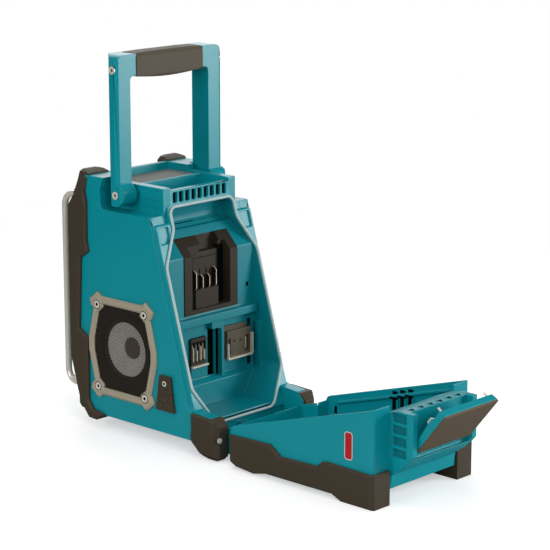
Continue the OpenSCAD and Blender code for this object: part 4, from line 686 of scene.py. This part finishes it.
def rounded_corners(corners, steps=8, closed=True):
    """Outline points whose corners are arcs.

    A corner b with radius r, unit directions u and w to its neighbours and half angle h between them turns
    about c = b + r / sin(h) unit(u + w), through 180 - 2 h degrees.
    """
    points, n = [], len(corners)
    for i, (x, y, r) in enumerate(corners):
        b = np.array([x, y], float)
        if r < 0.01 or (not closed and i in (0, n - 1)):
            points.append(b)
            continue
        u = np.array(corners[i - 1][:2]) - b
        w = np.array(corners[(i + 1) % n][:2]) - b
        u, w = u / np.linalg.norm(u), w / np.linalg.norm(w)
        h = math.acos(np.clip(u @ w, -1, 1)) / 2
        middle = b + (u + w) / np.linalg.norm(u + w) * r / math.sin(h)
        first = b + u * r / math.tan(h) - middle
        last = b + w * r / math.tan(h) - middle
        turn_ = math.copysign(math.pi - 2 * h, first[0] * last[1] - first[1] * last[0])
        for t in np.linspace(0, turn_, steps + 1):
            points.append(middle + [first[0] * math.cos(t) - first[1] * math.sin(t),
                                    first[0] * math.sin(t) + first[1] * math.cos(t)])
    return np.array(points)


def sweep(path, section, up, closed):
    """Grid p_i + a_j side_i + b_j up, with side = tangent x up, for a section of (a, b) pairs."""
    before = np.roll(path, 1, 0) if closed else np.vstack([path[:1], path[:-1]])
    after = np.roll(path, -1, 0) if closed else np.vstack([path[1:], path[-1:]])
    tangent = after - before
    tangent /= np.linalg.norm(tangent, axis=1, keepdims=True)
    sides = np.cross(tangent, up)
    sides /= np.linalg.norm(sides, axis=1, keepdims=True)
    return path[:, None] + sides[:, None] * section[None, :, :1] + up * section[None, :, 1:]


def circle_section(r, count=32):
    """Points (r cos t, r sin t)."""
    t = np.linspace(0, 2 * np.pi, count, endpoint=False)
    return np.stack([r * np.cos(t), r * np.sin(t)], axis=1)


def lathe(profile, centre, count=96):
    """Grid of a profile of (radius, x) pairs turned about an axis along X through centre (y, z)."""
    t = np.linspace(0, 2 * np.pi, count, endpoint=False)
    r, x = profile[:, 0][:, None], profile[:, 1][:, None]
    return np.stack([x + 0 * t, centre[0] + r * np.cos(t), centre[1] + r * np.sin(t)], axis=-1)


def boxes_mesh(name, boxes):
    """One mesh of many boxes, each (x0, x1, y0, y1, z0, z1) in millimetres."""
    b = np.asarray(boxes, float)
    pick = np.array([[i, 2 + j, 4 + k] for i in (0, 1) for j in (0, 1) for k in (0, 1)])
    quad = np.array([[0, 1, 3, 2], [4, 6, 7, 5], [0, 4, 5, 1], [2, 3, 7, 6], [0, 2, 6, 4], [1, 5, 7, 3]])
    faces = (quad[None] + 8 * np.arange(len(b))[:, None, None]).reshape(-1, 4)
    return mesh_of(name, b[:, pick], faces.tolist())


def box_piece(name, boxes, material, node):
    """Boxes as one flat-shaded piece."""
    finished_piece(name, boxes_mesh(name, boxes), material, node, smooth=False)


print("surface helpers ready")

# %% [markdown]
# ### Seal and guard pipes
#
# The seal is a soft bead on the sloped face of the bay. Its path is drawn in
# the upright XZ plane and laid on the slope y = y0 + (z0 - z) tan(16.2). The
# guard pipes are steel tubes, each bent twice.

# %% Seal
SEAL_LEAN = math.radians(16.2)
SEAL_Y, SEAL_Z = -110.5, 263
BEAD_HALF, BEAD_WALL, BEAD_CROWN = 1.5, 1.0, 1.4

seal_half = [(46, 31, 14), (71.5, 72, 16), (71.5, 202, 18), (49.5, 240, 14), (49.5, 263, 9)]
seal_outline = rounded_corners(seal_half + [(-x, z, r) for x, z, r in seal_half[::-1]], 12)
seal_x, seal_z = seal_outline.T
seal_line = np.stack([seal_x, SEAL_Y + (SEAL_Z - seal_z) * math.tan(SEAL_LEAN), seal_z], axis=1)
arc = np.linspace(0, np.pi, 11)
crown = np.stack([BEAD_HALF * np.cos(arc), BEAD_WALL + BEAD_CROWN * np.sin(arc)], axis=1)
bead = np.vstack([[BEAD_HALF, 0.0], crown, [-BEAD_HALF, 0.0]])
seal_up = np.array([0.0, math.cos(SEAL_LEAN), math.sin(SEAL_LEAN)])
seal_mesh = grid_mesh("seal_bead", sweep(seal_line, bead, seal_up, True), wrap_u=True, wrap_v=True)
seal = finished_piece("seal_bead", seal_mesh, seal_paint, "seal_gasket")
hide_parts("seal_gasket")
print("seal points:", len(seal_line))

# %% Guard pipes
PIPE_X, PIPE_R, PIPE_BEND = 59.5, 3.75, 14
PIPE_FRONT, PIPE_END, PIPE_LOW, PIPE_TOP = -270.25, -234.0, 39.75, 261.25
X_AXIS = np.array([1.0, 0.0, 0.0])

pipe_yz = rounded_corners([(PIPE_END, PIPE_TOP, 0), (PIPE_FRONT, PIPE_TOP, PIPE_BEND),
                           (PIPE_FRONT, PIPE_LOW, PIPE_BEND), (PIPE_END, PIPE_LOW, 0)], 14, closed=False)
for side_, tag in BOTH_SIDES:
    name = "guard_pipe_" + tag
    grid = sweep(at_x(side_ * PIPE_X, pipe_yz), circle_section(PIPE_R), X_AXIS, False)
    tube = finished_piece(name + "_bent", grid_mesh(name, grid, wrap_v=True, caps=True), pipe_metal, name)
    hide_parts(name)
print("pipe points:", len(pipe_yz))

# %% [markdown]
# ### Speakers
#
# The frame is a ring of stacked outlines: the same twelve corners, each time
# moved inward and to another height, which gives its sloped facets. A lug made
# the same way carries each bolt. Behind the frame lies a sheet with round
# holes. Each hole is a small tile of the same few faces, a square with an
# eight-sided hole and its walls, so that hundreds of them stay light. The
# cone, its rolled surround and the dust cap are turned profiles, and a dark
# plate with a sleeve lines the mouth. The plate's dark paint is partly the
# speaker's own and partly painted shade round the cone. The cone's pale paper
# is lightened to near white, partly painted light that makes up for the shade
# behind the sheet.

# %% Frame of stacked outlines
SPEAKER = (-157.5, 98.4)
FRAME_LEVELS = [(0, 77.2), (0, 78.7), (2.7, 81.2), (6.6, 81.2), (9.0, 79.0), (9.0, 77.2)]
LUG_LEVELS = [(0, 77.25), (0, 79.6), (1.9, 81.3)]
RIDGE_MM, RIDGE_DEGREES = 0.25, 14
BOLT = np.array([38.0, 47.5])

ring_half = [(34, -57.5), (46, -43.5), (55, -7), (55, 7), (46, 43.5), (34, 57.5)]
frame_ring = np.array(ring_half + [(-a, b) for a, b in ring_half[::-1]], float)
lug = np.array([(-5, -7), (5, -7), (10, 3), (10, 6), (8, 12), (-8, 12), (-10, 6), (-10, 3)], float)


def inset_outline(corners, d):
    """A convex outline with every side moved inward by d.

    Corner c with unit directions u and w to its neighbours and half angle h between them goes to
    c + d / sin(h) unit(u + w).
    """
    u, w = np.roll(corners, 1, 0) - corners, np.roll(corners, -1, 0) - corners
    u, w = (v / np.linalg.norm(v, axis=1, keepdims=True) for v in (u, w))
    h = np.arccos(np.clip((u * w).sum(1), -1, 1)) / 2
    middle = (u + w) / np.linalg.norm(u + w, axis=1, keepdims=True)
    return corners + middle * (d / np.sin(h))[:, None]


def faceted(name, side, outline, levels, caps, node):
    """A ring or block of stacked outlines, each level an (inset, x) pair, with finely rounded ridges."""
    rows = [at_x(side * x, inset_outline(outline, d) + SPEAKER) for d, x in levels]
    mesh = grid_mesh(name, np.array(rows), wrap_u=not caps, wrap_v=True, caps=caps)
    piece = finished_piece(name, mesh, frame_grey, node)
    ridge = piece.modifiers.new("ridges", "BEVEL")
    ridge.width = RIDGE_MM * MM
    ridge.segments = 2
    ridge.limit_method = "ANGLE"
    ridge.angle_limit = math.radians(RIDGE_DEGREES)
    flats_stay_flat(piece)
    return piece


def speaker_frame(side, tag):
    """The ring of facets, and a lug at each bolt that points away from the middle."""
    node = "speaker_frame_" + tag
    bar = faceted("speaker_frame_bar_" + tag, side, frame_ring, FRAME_LEVELS, False, node)
    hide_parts(node)
    for i, corner in enumerate(((1, 1), (-1, 1), (-1, -1), (1, -1))):
        out = BOLT * corner
        outward = out / np.linalg.norm(out)
        across = np.array([outward[1], -outward[0]])
        plan = out + lug[:, :1] * across + lug[:, 1:] * outward
        faceted("speaker_frame_lug_%s_%d" % (tag, i), side, plan, LUG_LEVELS, True, node)


print("frame corners:", len(frame_ring), "lug corners:", len(lug))

# %% Perforated sheet
HOLE_PITCH, HOLE_R, SHEET_EDGE = 1.7, 0.8, 8.0
SHEET_FRONT, SHEET_BACK = 78.4, 78.1

ring_way = np.roll(frame_ring, -1, 0) - frame_ring
ring_out = np.stack([ring_way[:, 1], -ring_way[:, 0]], axis=1)
ring_out /= np.linalg.norm(ring_out, axis=1, keepdims=True)


def ring_depth(points):
    """How far inside the frame's outline each (y, z) point lies, in millimetres."""
    return ((frame_ring - points[:, None]) * ring_out).sum(-1).min(1)


def perforated(name, side):
    """A sheet of square tiles, each with an octagon hole, inside the speaker frame.

    A tile has 12 points in front and the same 12 behind: four of the square, then eight of the hole. A face
    that names a corner twice becomes a triangle.
    """
    steps = np.arange(-60, 60, HOLE_PITCH) + HOLE_PITCH / 2
    centres = np.stack(np.meshgrid(steps, steps), axis=-1).reshape(-1, 2)
    centres = centres[ring_depth(centres) > SHEET_EDGE]
    eight = np.arange(8) * np.pi / 4 + np.pi / 8
    square = np.array([(1, 1), (-1, 1), (-1, -1), (1, -1)]) * HOLE_PITCH / 2
    tile = np.vstack([square, np.stack([np.cos(eight), np.sin(eight)], axis=1) * HOLE_R])
    flat = (centres[:, None] + tile) + SPEAKER
    layers = [np.concatenate([np.full(flat.shape[:2] + (1,), side * x), flat], axis=-1)
              for x in (SHEET_FRONT, SHEET_BACK)]
    faces = []
    for k in range(4):
        a, b, c, ahead = 4 + 2 * k, 5 + 2 * k, 4 + (2 * k + 2) % 8, (k + 1) % 4
        faces += [(k, a, b, b), (k, b, c, ahead), (12 + k, 12 + a, 12 + b, 12 + b)]
        faces += [(12 + k, 12 + b, 12 + c, 12 + ahead), (a, b, 12 + b, 12 + a), (b, c, 12 + c, 12 + b)]
    tiles = np.array(faces)[None] + 24 * np.arange(len(centres))[:, None, None]
    faces = [list(dict.fromkeys(f)) for f in tiles.reshape(-1, 4).tolist()]
    return mesh_of(name, np.concatenate(layers, axis=1), faces)


print("sheet between x =", SHEET_BACK, "and", SHEET_FRONT, "mm")

# %% Mouth plate of dark paint and painted shade
MOUTH_R, SLEEVE_R, PLATE_EDGE = 36.4, 36.85, 6.0
SLEEVE_X, PLATE_BACK, PLATE_FRONT = 72.0, 77.05, 77.3
ROUND = 128

angle = np.linspace(0, 2 * np.pi, ROUND, endpoint=False)
ray = np.stack([np.cos(angle), np.sin(angle)], axis=1)
plate_reach = ((frame_ring * ring_out).sum(1) / np.maximum(ray @ ring_out.T, 1e-6)).min(1) - PLATE_EDGE


def mouth_plate(side, tag):
    """A plate from the mouth to the frame, with a sleeve into the mouth: six rounds of points. Its dark paint
    is partly painted shade.
    """
    edge, mouth, sleeve = ray * plate_reach[:, None], ray * MOUTH_R, ray * SLEEVE_R
    rim = ((SLEEVE_X, mouth), (PLATE_FRONT, mouth), (PLATE_FRONT, edge), (PLATE_BACK, edge),
           (PLATE_BACK, sleeve), (SLEEVE_X, sleeve))
    rows = [at_x(side * x, p + SPEAKER) for x, p in rim]
    mesh = grid_mesh("mouth_plate_" + tag, np.array(rows), wrap_u=True, wrap_v=True)
    finished_piece("mouth_plate_" + tag, mesh, basket_paint_and_shade, "speaker_basket_" + tag, False)


print("mouth plate reaches", plate_reach.max().round(1), "mm out")

# %% Cone, cap and roll
CONE_R, CONE_END_R, CONE_X, CONE_DEPTH, PAPER_THICK = 31.2, 12.0, 71.6, 8.8, 0.6
CAP_R, CAP_X, CAP_RISE, AXIS_R = 12.6, 62.4, 4.4, 0.02
ROLL_R, ROLL_X, ROLL_RISE = 31.0, 71.4, 2.4


def half_roll(x0):
    """Half a turn between ROLL_R and MOUTH_R: (middle + half width cos t, x0 + ROLL_RISE sin t)."""
    t = np.linspace(0, np.pi, 13)
    r = (ROLL_R + MOUTH_R) / 2 + (ROLL_R - MOUTH_R) / 2 * np.cos(t)
    return np.stack([r, x0 + ROLL_RISE * np.sin(t)], axis=1)


t = np.linspace(0, 1, 14)
cone = np.stack([CONE_R + (CONE_END_R - CONE_R) * t, CONE_X - CONE_DEPTH * t ** 0.8], axis=1)
cone = np.vstack([cone, cone[::-1] - [0, PAPER_THICK]])
cap = np.stack([CAP_R * np.cos(t * np.pi / 2) + AXIS_R, CAP_X + CAP_RISE * np.sin(t * np.pi / 2)], axis=1)
cap = np.vstack([cap, [AXIS_R, CAP_X - PAPER_THICK], [CAP_R, CAP_X - PAPER_THICK]])
roll = np.vstack([half_roll(ROLL_X), half_roll(ROLL_X - PAPER_THICK)[::-1]])
turned_parts = (("cone", cone, cone_paper_and_painted_light), ("cap", cap, cap_paper), ("roll", roll, roll_foam))
print("profile points:", [len(profile) for label, profile, paint in turned_parts])

# %% Both speakers
for side_, tag in BOTH_SIDES:
    speaker_frame(side_, tag)
    grille = "speaker_grille_" + tag
    sheet = finished_piece("speaker_mesh_" + tag, perforated("mesh_" + tag, side_), mesh_paint, grille, False)
    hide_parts(grille)
    mouth_plate(side_, tag)
    for label, profile, paint in turned_parts:
        turned = lathe(profile * [1, side_], SPEAKER)
        mesh = grid_mesh(label + "_" + tag, turned, wrap_u=True, wrap_v=True)
        piece = finished_piece("speaker_" + label + "_" + tag, mesh, paint, "speaker_cone_" + tag)
        if label == "cone":
            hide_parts("speaker_cone_" + tag)
print("holes per speaker:", len(sheet.data.vertices) // 24)

# %% [markdown]
# ### Painted shade in small places
#
# A slot a few millimetres wide swallows light. Its floor gets a nearly black
# inset of painted shade, so that it reads as deep from any side: behind the comb,
# in the pocket of the main terminal, in the sockets of the bolts and in rings
# round their heads, under the triangles of the cover and in its side slots. The
# ladder on the cover gets a darker teal floor of painted shade. The bay also
# gets a fin between the small terminals and plated ledges under them, and the
# front bumpers get a toe that covers the corner of the front panel.

# %% Painted shade in the sockets of the bolts and round their heads
DISC_ROUND, HUB_R = 24, 0.02
BOTH = (1, -1)
FRAME_BOLTS = [(y, z) for y in (-195.5, -119.5) for z in (50.9, 145.9)]
# each row, a disc of painted shade: piece, node, sides, face x, places (y, z), inner and outer radius,
# thickness
SHADE_DISCS = [
    ("frame_bolt_sockets", "frame_bolts", BOTH, 81.32, FRAME_BOLTS, HUB_R, 1.8, 0.06),
    ("frame_bolt_rings", "frame_bolts", BOTH, 81.3, FRAME_BOLTS, 4.3, 5.2, 0.08),
    ("pivot_sockets", "pivot_bolts", BOTH, 80.62, [(-161.9, 274.3)], HUB_R, 1.85, 0.06),
    ("top_bolt_sockets", "handle_top_bolts", BOTH, 80.82, [(-163.7, 412.0)], HUB_R, 1.85, 0.06),
    ("flap_screw_socket", "port_screw", (1,), 80.98, [(-88.6, 74.0)], HUB_R, 1.5, 0.06),
]


def turned_discs(name, node, places, r0, r1, thick):
    """Flat rings of painted shade about axes along X, one at each place (x, y, z), in one mesh."""
    rings = []
    for x, y, z in places:
        back = x + math.copysign(thick, x)
        ring = lathe(np.array([(r0, x), (r1, x), (r1, back), (r0, back)]), (y, z), DISC_ROUND)
        rings.append(grid_mesh(name, ring, wrap_u=True, wrap_v=True))
    finished_piece(name, joined(name, rings), shadow_paint, node, False)


for name, node, sides, face_x, places, r0, r1, thick in SHADE_DISCS:
    turned_discs(name, node, [(s * face_x, y, z) for s in sides for y, z in places], r0, r1, thick)
print("disc pieces:", len(SHADE_DISCS))

# %% Painted shade in the comb and the pocket, fin and ledges
COMB_PITCH, COMB_HALF, COMB_FACE, COMB_DEEP = 9.5556, 3.1, -115.0, 0.4
BAY_WALL = -94.6
BLADE_X, BLADE_HALF = (14.0, 19.8, 25.6, 31.4), 0.5

# painted shade: dark plates behind the gaps of the comb and in the pocket of the main terminal
comb_gap_shade = [(x - COMB_HALF, x + COMB_HALF, COMB_FACE - COMB_DEEP, COMB_FACE, 266.9, 278.5)
             for x in np.arange(-4, 5) * COMB_PITCH]
pocket_shade = [(20.8, 29.7, -106.3, -99.0, 146.1, 166.8), (-29.7, -20.9, -107.0, -106.0, 146.2, 211.4)]
fin = [(-9.5, -6.0, BAY_WALL, -85.0, 67.0, 121.0), (-6.1, 5.0, BAY_WALL, -89.0, 121.5, 129.0)]
plate = [(-51.0, -15.0, BAY_WALL, -92.2, 82.0, 119.5)]
ledges = [(9.9, 35.5, -92.6, -89.6, 81.4, 83.3), (-57.2, -17.8, -88.6, -85.4, 81.4, 83.3),
          (-19.2, -17.8, -88.6, -86.0, 83.2, 100.0), (-57.2, -55.8, -88.6, -84.6, 83.2, 107.0)]
ledges += [(x - BLADE_HALF, x + BLADE_HALF, BAY_WALL, -92.0, 88.0, 100.0 + 4.0 * (k % 2))
           for k, x in enumerate(BLADE_X)]
box_piece("comb_gap_shade", comb_gap_shade, shadow_paint, "main_housing")
box_piece("pocket_gap_shade", pocket_shade, shadow_paint, "main_terminal")
box_piece("bay_fin", fin, shaded_bay_teal, "battery_bay")
box_piece("wide_terminal_plate", plate, terminal_brown, "wide_terminal")
box_piece("terminal_ledges", ledges, contact_metal, "small_blades")
print("boxes in the bay:", len(comb_gap_shade + pocket_shade + fin + plate + ledges))

# %% Toes of the front bumpers
TOE_X = (58.0, 77.4)
toe_side = np.array([(-232.3, 34.0), (-232.3, 22.9), (-228.0, 18.6), (-224.0, 18.6), (-224.0, 34.0)])
for side_, tag in BOTH_SIDES:
    toe_rows = np.array([at_x(side_ * x, toe_side) for x in TOE_X])
    toe = grid_mesh("bumper_toe_" + tag, toe_rows, wrap_v=True, caps=True)
    finished_piece("bumper_toe_" + tag, toe, brown_rubber, "front_bumper_" + tag, False)
print("toe corners:", len(toe_side))

# %% Painted shade in the slots and ladder of the cover, and its ribs
SLOT_Y, SLOT_LONG, RIB_LONG, SLOT_FLOOR = (107.0, 118.0, 129.0), 7.5, 2.0, 30.0
LADDER_X, LADDER_Y, LADDER_GAP = (49.7, 49.75), (213.2, 230.8), 0.2
LADDER_Z = ((51.5, 60.3), (63.3, 72.8), (75.8, 84.8), (87.8, 97.5))


def both_x(boxes):
    """The boxes and their mirror images in X."""
    return list(boxes) + [(-b[1], -b[0]) + tuple(b[2:]) for b in boxes]


def rim_height(y):
    """Height of the cover's sloping rim: z0 + (y - y0) times its slope."""
    return 75.2 + (y - 108) * 0.2905


# painted shade: dark plates in the slots, and a darker teal on the floors of the ladder
cover_slot_shade, cover_ribs = [], []
for y in SLOT_Y:
    rim_z, y_end = rim_height(y), y + SLOT_LONG
    cover_slot_shade.append((74.85, 75.1, y, y_end, SLOT_FLOOR, rim_z - 2.5))
    cover_slot_shade.append((69.85, 70.3, y, y_end, rim_z - 10.4, rim_z - 7.7))
    cover_ribs.append((72.2, 75.2, y_end + 0.1, y_end + 0.1 + RIB_LONG, SLOT_FLOOR, rim_z - 10.8))
cover_slot_shade.append((73.9, 75.1, 24.0, 27.0, 20.0, 38.0))
ladder = [LADDER_X + LADDER_Y + (z0 + LADDER_GAP, z1 - LADDER_GAP) for z0, z1 in LADDER_Z]
box_piece("cover_gap_shade", both_x(cover_slot_shade), shadow_paint, "cover_shell")
box_piece("cover_ladder_shade", both_x(ladder), recess_shade_teal, "cover_shell")
box_piece("cover_ribs", both_x(cover_ribs), teal, "cover_shell")
print("insets in the cover:", 2 * len(cover_slot_shade + ladder + cover_ribs))

# %% Painted shade in the triangles of the cover
HOLES, HOLE_STEP, HOLE_REACH, HOLE_Y, HOLE_Z = 6, 15, 4.9, 226, (99.6, 99.3)

# painted shade: a dark triangle just under the top of each hole
three = np.radians([90, 210, 330])
holes = []
for i in range(HOLES):
    x = (i - (HOLES - 1) / 2) * HOLE_STEP + HOLE_REACH * np.cos(three)
    y = HOLE_Y + HOLE_REACH * np.sin(three)
    prism = np.array([np.column_stack([x, y, np.full(3, z)]) for z in HOLE_Z])
    holes.append(grid_mesh("cover_triangle_shade", prism, wrap_v=True, caps=True))
finished_piece("cover_triangle_shade", joined("cover_triangle_shade", holes), shadow_paint, "cover_shell", False)
print("triangles:", HOLES)

# %% Rim of the badge
BADGE_X, BADGE_R = 78.8, 3
BADGE_CORNERS = ((173.0, 46.5), (183.0, 46.5), (183.0, 75.5), (173.0, 75.5))

badge_line = rounded_corners([(y, z, BADGE_R) for y, z in BADGE_CORNERS])
badge_edge = np.array([(-0.45, -0.3), (0.45, -0.3), (0.45, 0.15), (-0.45, 0.15)])
badge_grid = sweep(at_x(BADGE_X, badge_line), badge_edge, X_AXIS, True)
badge_mesh = grid_mesh("badge_rim", badge_grid, wrap_u=True, wrap_v=True)
finished_piece("badge_rim", badge_mesh, rim_white, "cover_badge", False)
print("rim points:", len(badge_line))

# %% [markdown]
# ### Figures on the front
#
# The display shows a time and a frequency in seven-bar figures, and the keys
# carry plain numbers. Each figure is a choice of bars from the same seven.

# %% Seven-bar figures
BARS = {"a": (0, 1, 2, 2), "b": (1, 1, 1, 2), "c": (1, 1, 0, 1), "d": (0, 1, 0, 0), "e": (0, 0, 0, 1),
        "f": (0, 0, 1, 2), "g": (0, 1, 1, 1)}
FIGURES = {"0": "abcdef", "1": "bc", "2": "abged", "3": "abgcd", "4": "fgbc", "5": "afgcd", "8": "abcdefg",
           "9": "abcdfg"}
PRINT_OUT, PRINT_IN = 0.15, 0.1


def printed(face):
    """The two Y planes of a print on a face that looks forward, -Y."""
    return face - PRINT_OUT, face + PRINT_IN


def figures(text, x, z0, width, height, bar, y_front):
    """Boxes that stand out of the face at y_front and read from the front, where X runs right."""
    boxes = []
    depth = printed(y_front)
    for sign in text:
        if sign in ".:":
            for z in ([z0] if sign == "." else [z0 + height * 0.28, z0 + height * 0.62]):
                boxes.append((x, x + bar, *depth, z, z + bar))
            x += bar * 2.2
            continue
        for name in FIGURES[sign]:
            u0, u1, v0, v1 = BARS[name]
            low, high = z0 + v0 * (height - bar) / 2, z0 + v1 * (height - bar) / 2 + bar
            boxes.append((x + u0 * (width - bar), x + u1 * (width - bar) + bar, *depth, low, high))
        x += width + bar * 1.4
    return boxes


print("figures known:", len(FIGURES))

# %% Display
LENS_FRONT = -231.8
SCREEN_THICK = 0.1
screen = (-33, 33, LENS_FRONT - SCREEN_THICK, LENS_FRONT + SCREEN_THICK, 202, 230)
box_piece("display_screen", [screen], screen_paint, "display_lens")
shown_figures = figures("10:25", -26, 208, 7.5, 15, 1.5, LENS_FRONT - SCREEN_THICK)
shown_figures += figures("98.5", 14, 208, 3.6, 7, 0.8, LENS_FRONT - SCREEN_THICK)
box_piece("display_figures", shown_figures, screen_ink, "display_lens")
print("bars on the display:", len(shown_figures))

# %% Keys
KEY_FRONT, KEY_Z, KEY_BAR = -234.2, 175.4, 0.7
SIGN_R, SIGN_Z, SIGN_HALF = 2.1, 178, 0.35


def middle_x(node):
    """Middle of a node in X, in millimetres."""
    x = np.array([v.co.x for v in nodes[node].data.vertices]) / MM
    return (x.min() + x.max()) / 2


for i, key in enumerate(PRESETS, 1):
    start = middle_x(key) - (1.8 if i == 1 else 1.6)
    box_piece("figure_%d" % i, figures(str(i), start, KEY_Z, 3.2, 5.2, KEY_BAR, KEY_FRONT), print_white, key)
power_x = middle_x("power_button")
turn_t = np.radians(np.linspace(120, 420, 25))
sign_line = np.column_stack([power_x + SIGN_R * np.cos(turn_t), np.full(len(turn_t), KEY_FRONT),
                             SIGN_Z + SIGN_R * np.sin(turn_t)])
thin = np.array([(SIGN_HALF, -PRINT_IN), (SIGN_HALF, PRINT_OUT), (-SIGN_HALF, PRINT_OUT),
                 (-SIGN_HALF, -PRINT_IN)])
ring = sweep(sign_line, thin, np.array([0.0, -1.0, 0.0]), False)
ring_mesh = grid_mesh("power_ring", ring, wrap_v=True, caps=True)
finished_piece("power_ring", ring_mesh, print_white, "power_button", False)
bar_box = (power_x - SIGN_HALF, power_x + SIGN_HALF, *printed(KEY_FRONT), 178.2, 180.9)
box_piece("power_bar", [bar_box], print_white, "power_button")
print("power key at x =", round(float(power_x), 2))

# %% Knob line and scale
KNOB_FACE, KNOB_Z, PANEL_FRONT = -246.0, 128, -232.0
SCALE_R, DOT_HALF = 27.5, 0.6
knob_line = (-0.8, 0.8, KNOB_FACE - 0.2, KNOB_FACE + PRINT_IN, 136, 145)
box_piece("knob_line", [knob_line], print_white, "tuning_knob")
dots = []
for a in np.radians(np.arange(-130, 131, 20) + 90):
    x, z = SCALE_R * math.cos(a), KNOB_Z + SCALE_R * math.sin(a)
    dots.append((x - DOT_HALF, x + DOT_HALF, *printed(PANEL_FRONT), z - DOT_HALF, z + DOT_HALF))
box_piece("knob_scale", dots, print_white, "front_panel")
print("scale marks:", len(dots))

# %% [markdown]
# ### Dots on the socket flap
#
# Six low domes help a finger find the flap. Each is a quarter turn of
# x = x0 + h cos(t) and radius R sin(t), swept round its own axis.

# %% Flap dots
DOT_R, DOT_RISE, FLAP_FACE = 1.5, 0.7, 80.95
DOT_PLACES = [(-88 + dy, z) for dy in (-6.5, 0, 6.5) for z in (48.5, 55.5)]

t = np.linspace(0.02, np.pi / 2, 6)[:, None]
around = np.linspace(0, 2 * np.pi, 16, endpoint=False)
x, r = FLAP_FACE + DOT_RISE * np.cos(t), DOT_R * np.sin(t)
dome = np.stack([x + 0 * around, r * np.cos(around), r * np.sin(around)], axis=-1)
domes = [grid_mesh("flap_dots", dome + [0, y, z], wrap_v=True, caps=True) for y, z in DOT_PLACES]
finished_piece("flap_dots", joined("flap_dots", domes), brown_rubber, "port_flap")
print("dots:", len(DOT_PLACES))
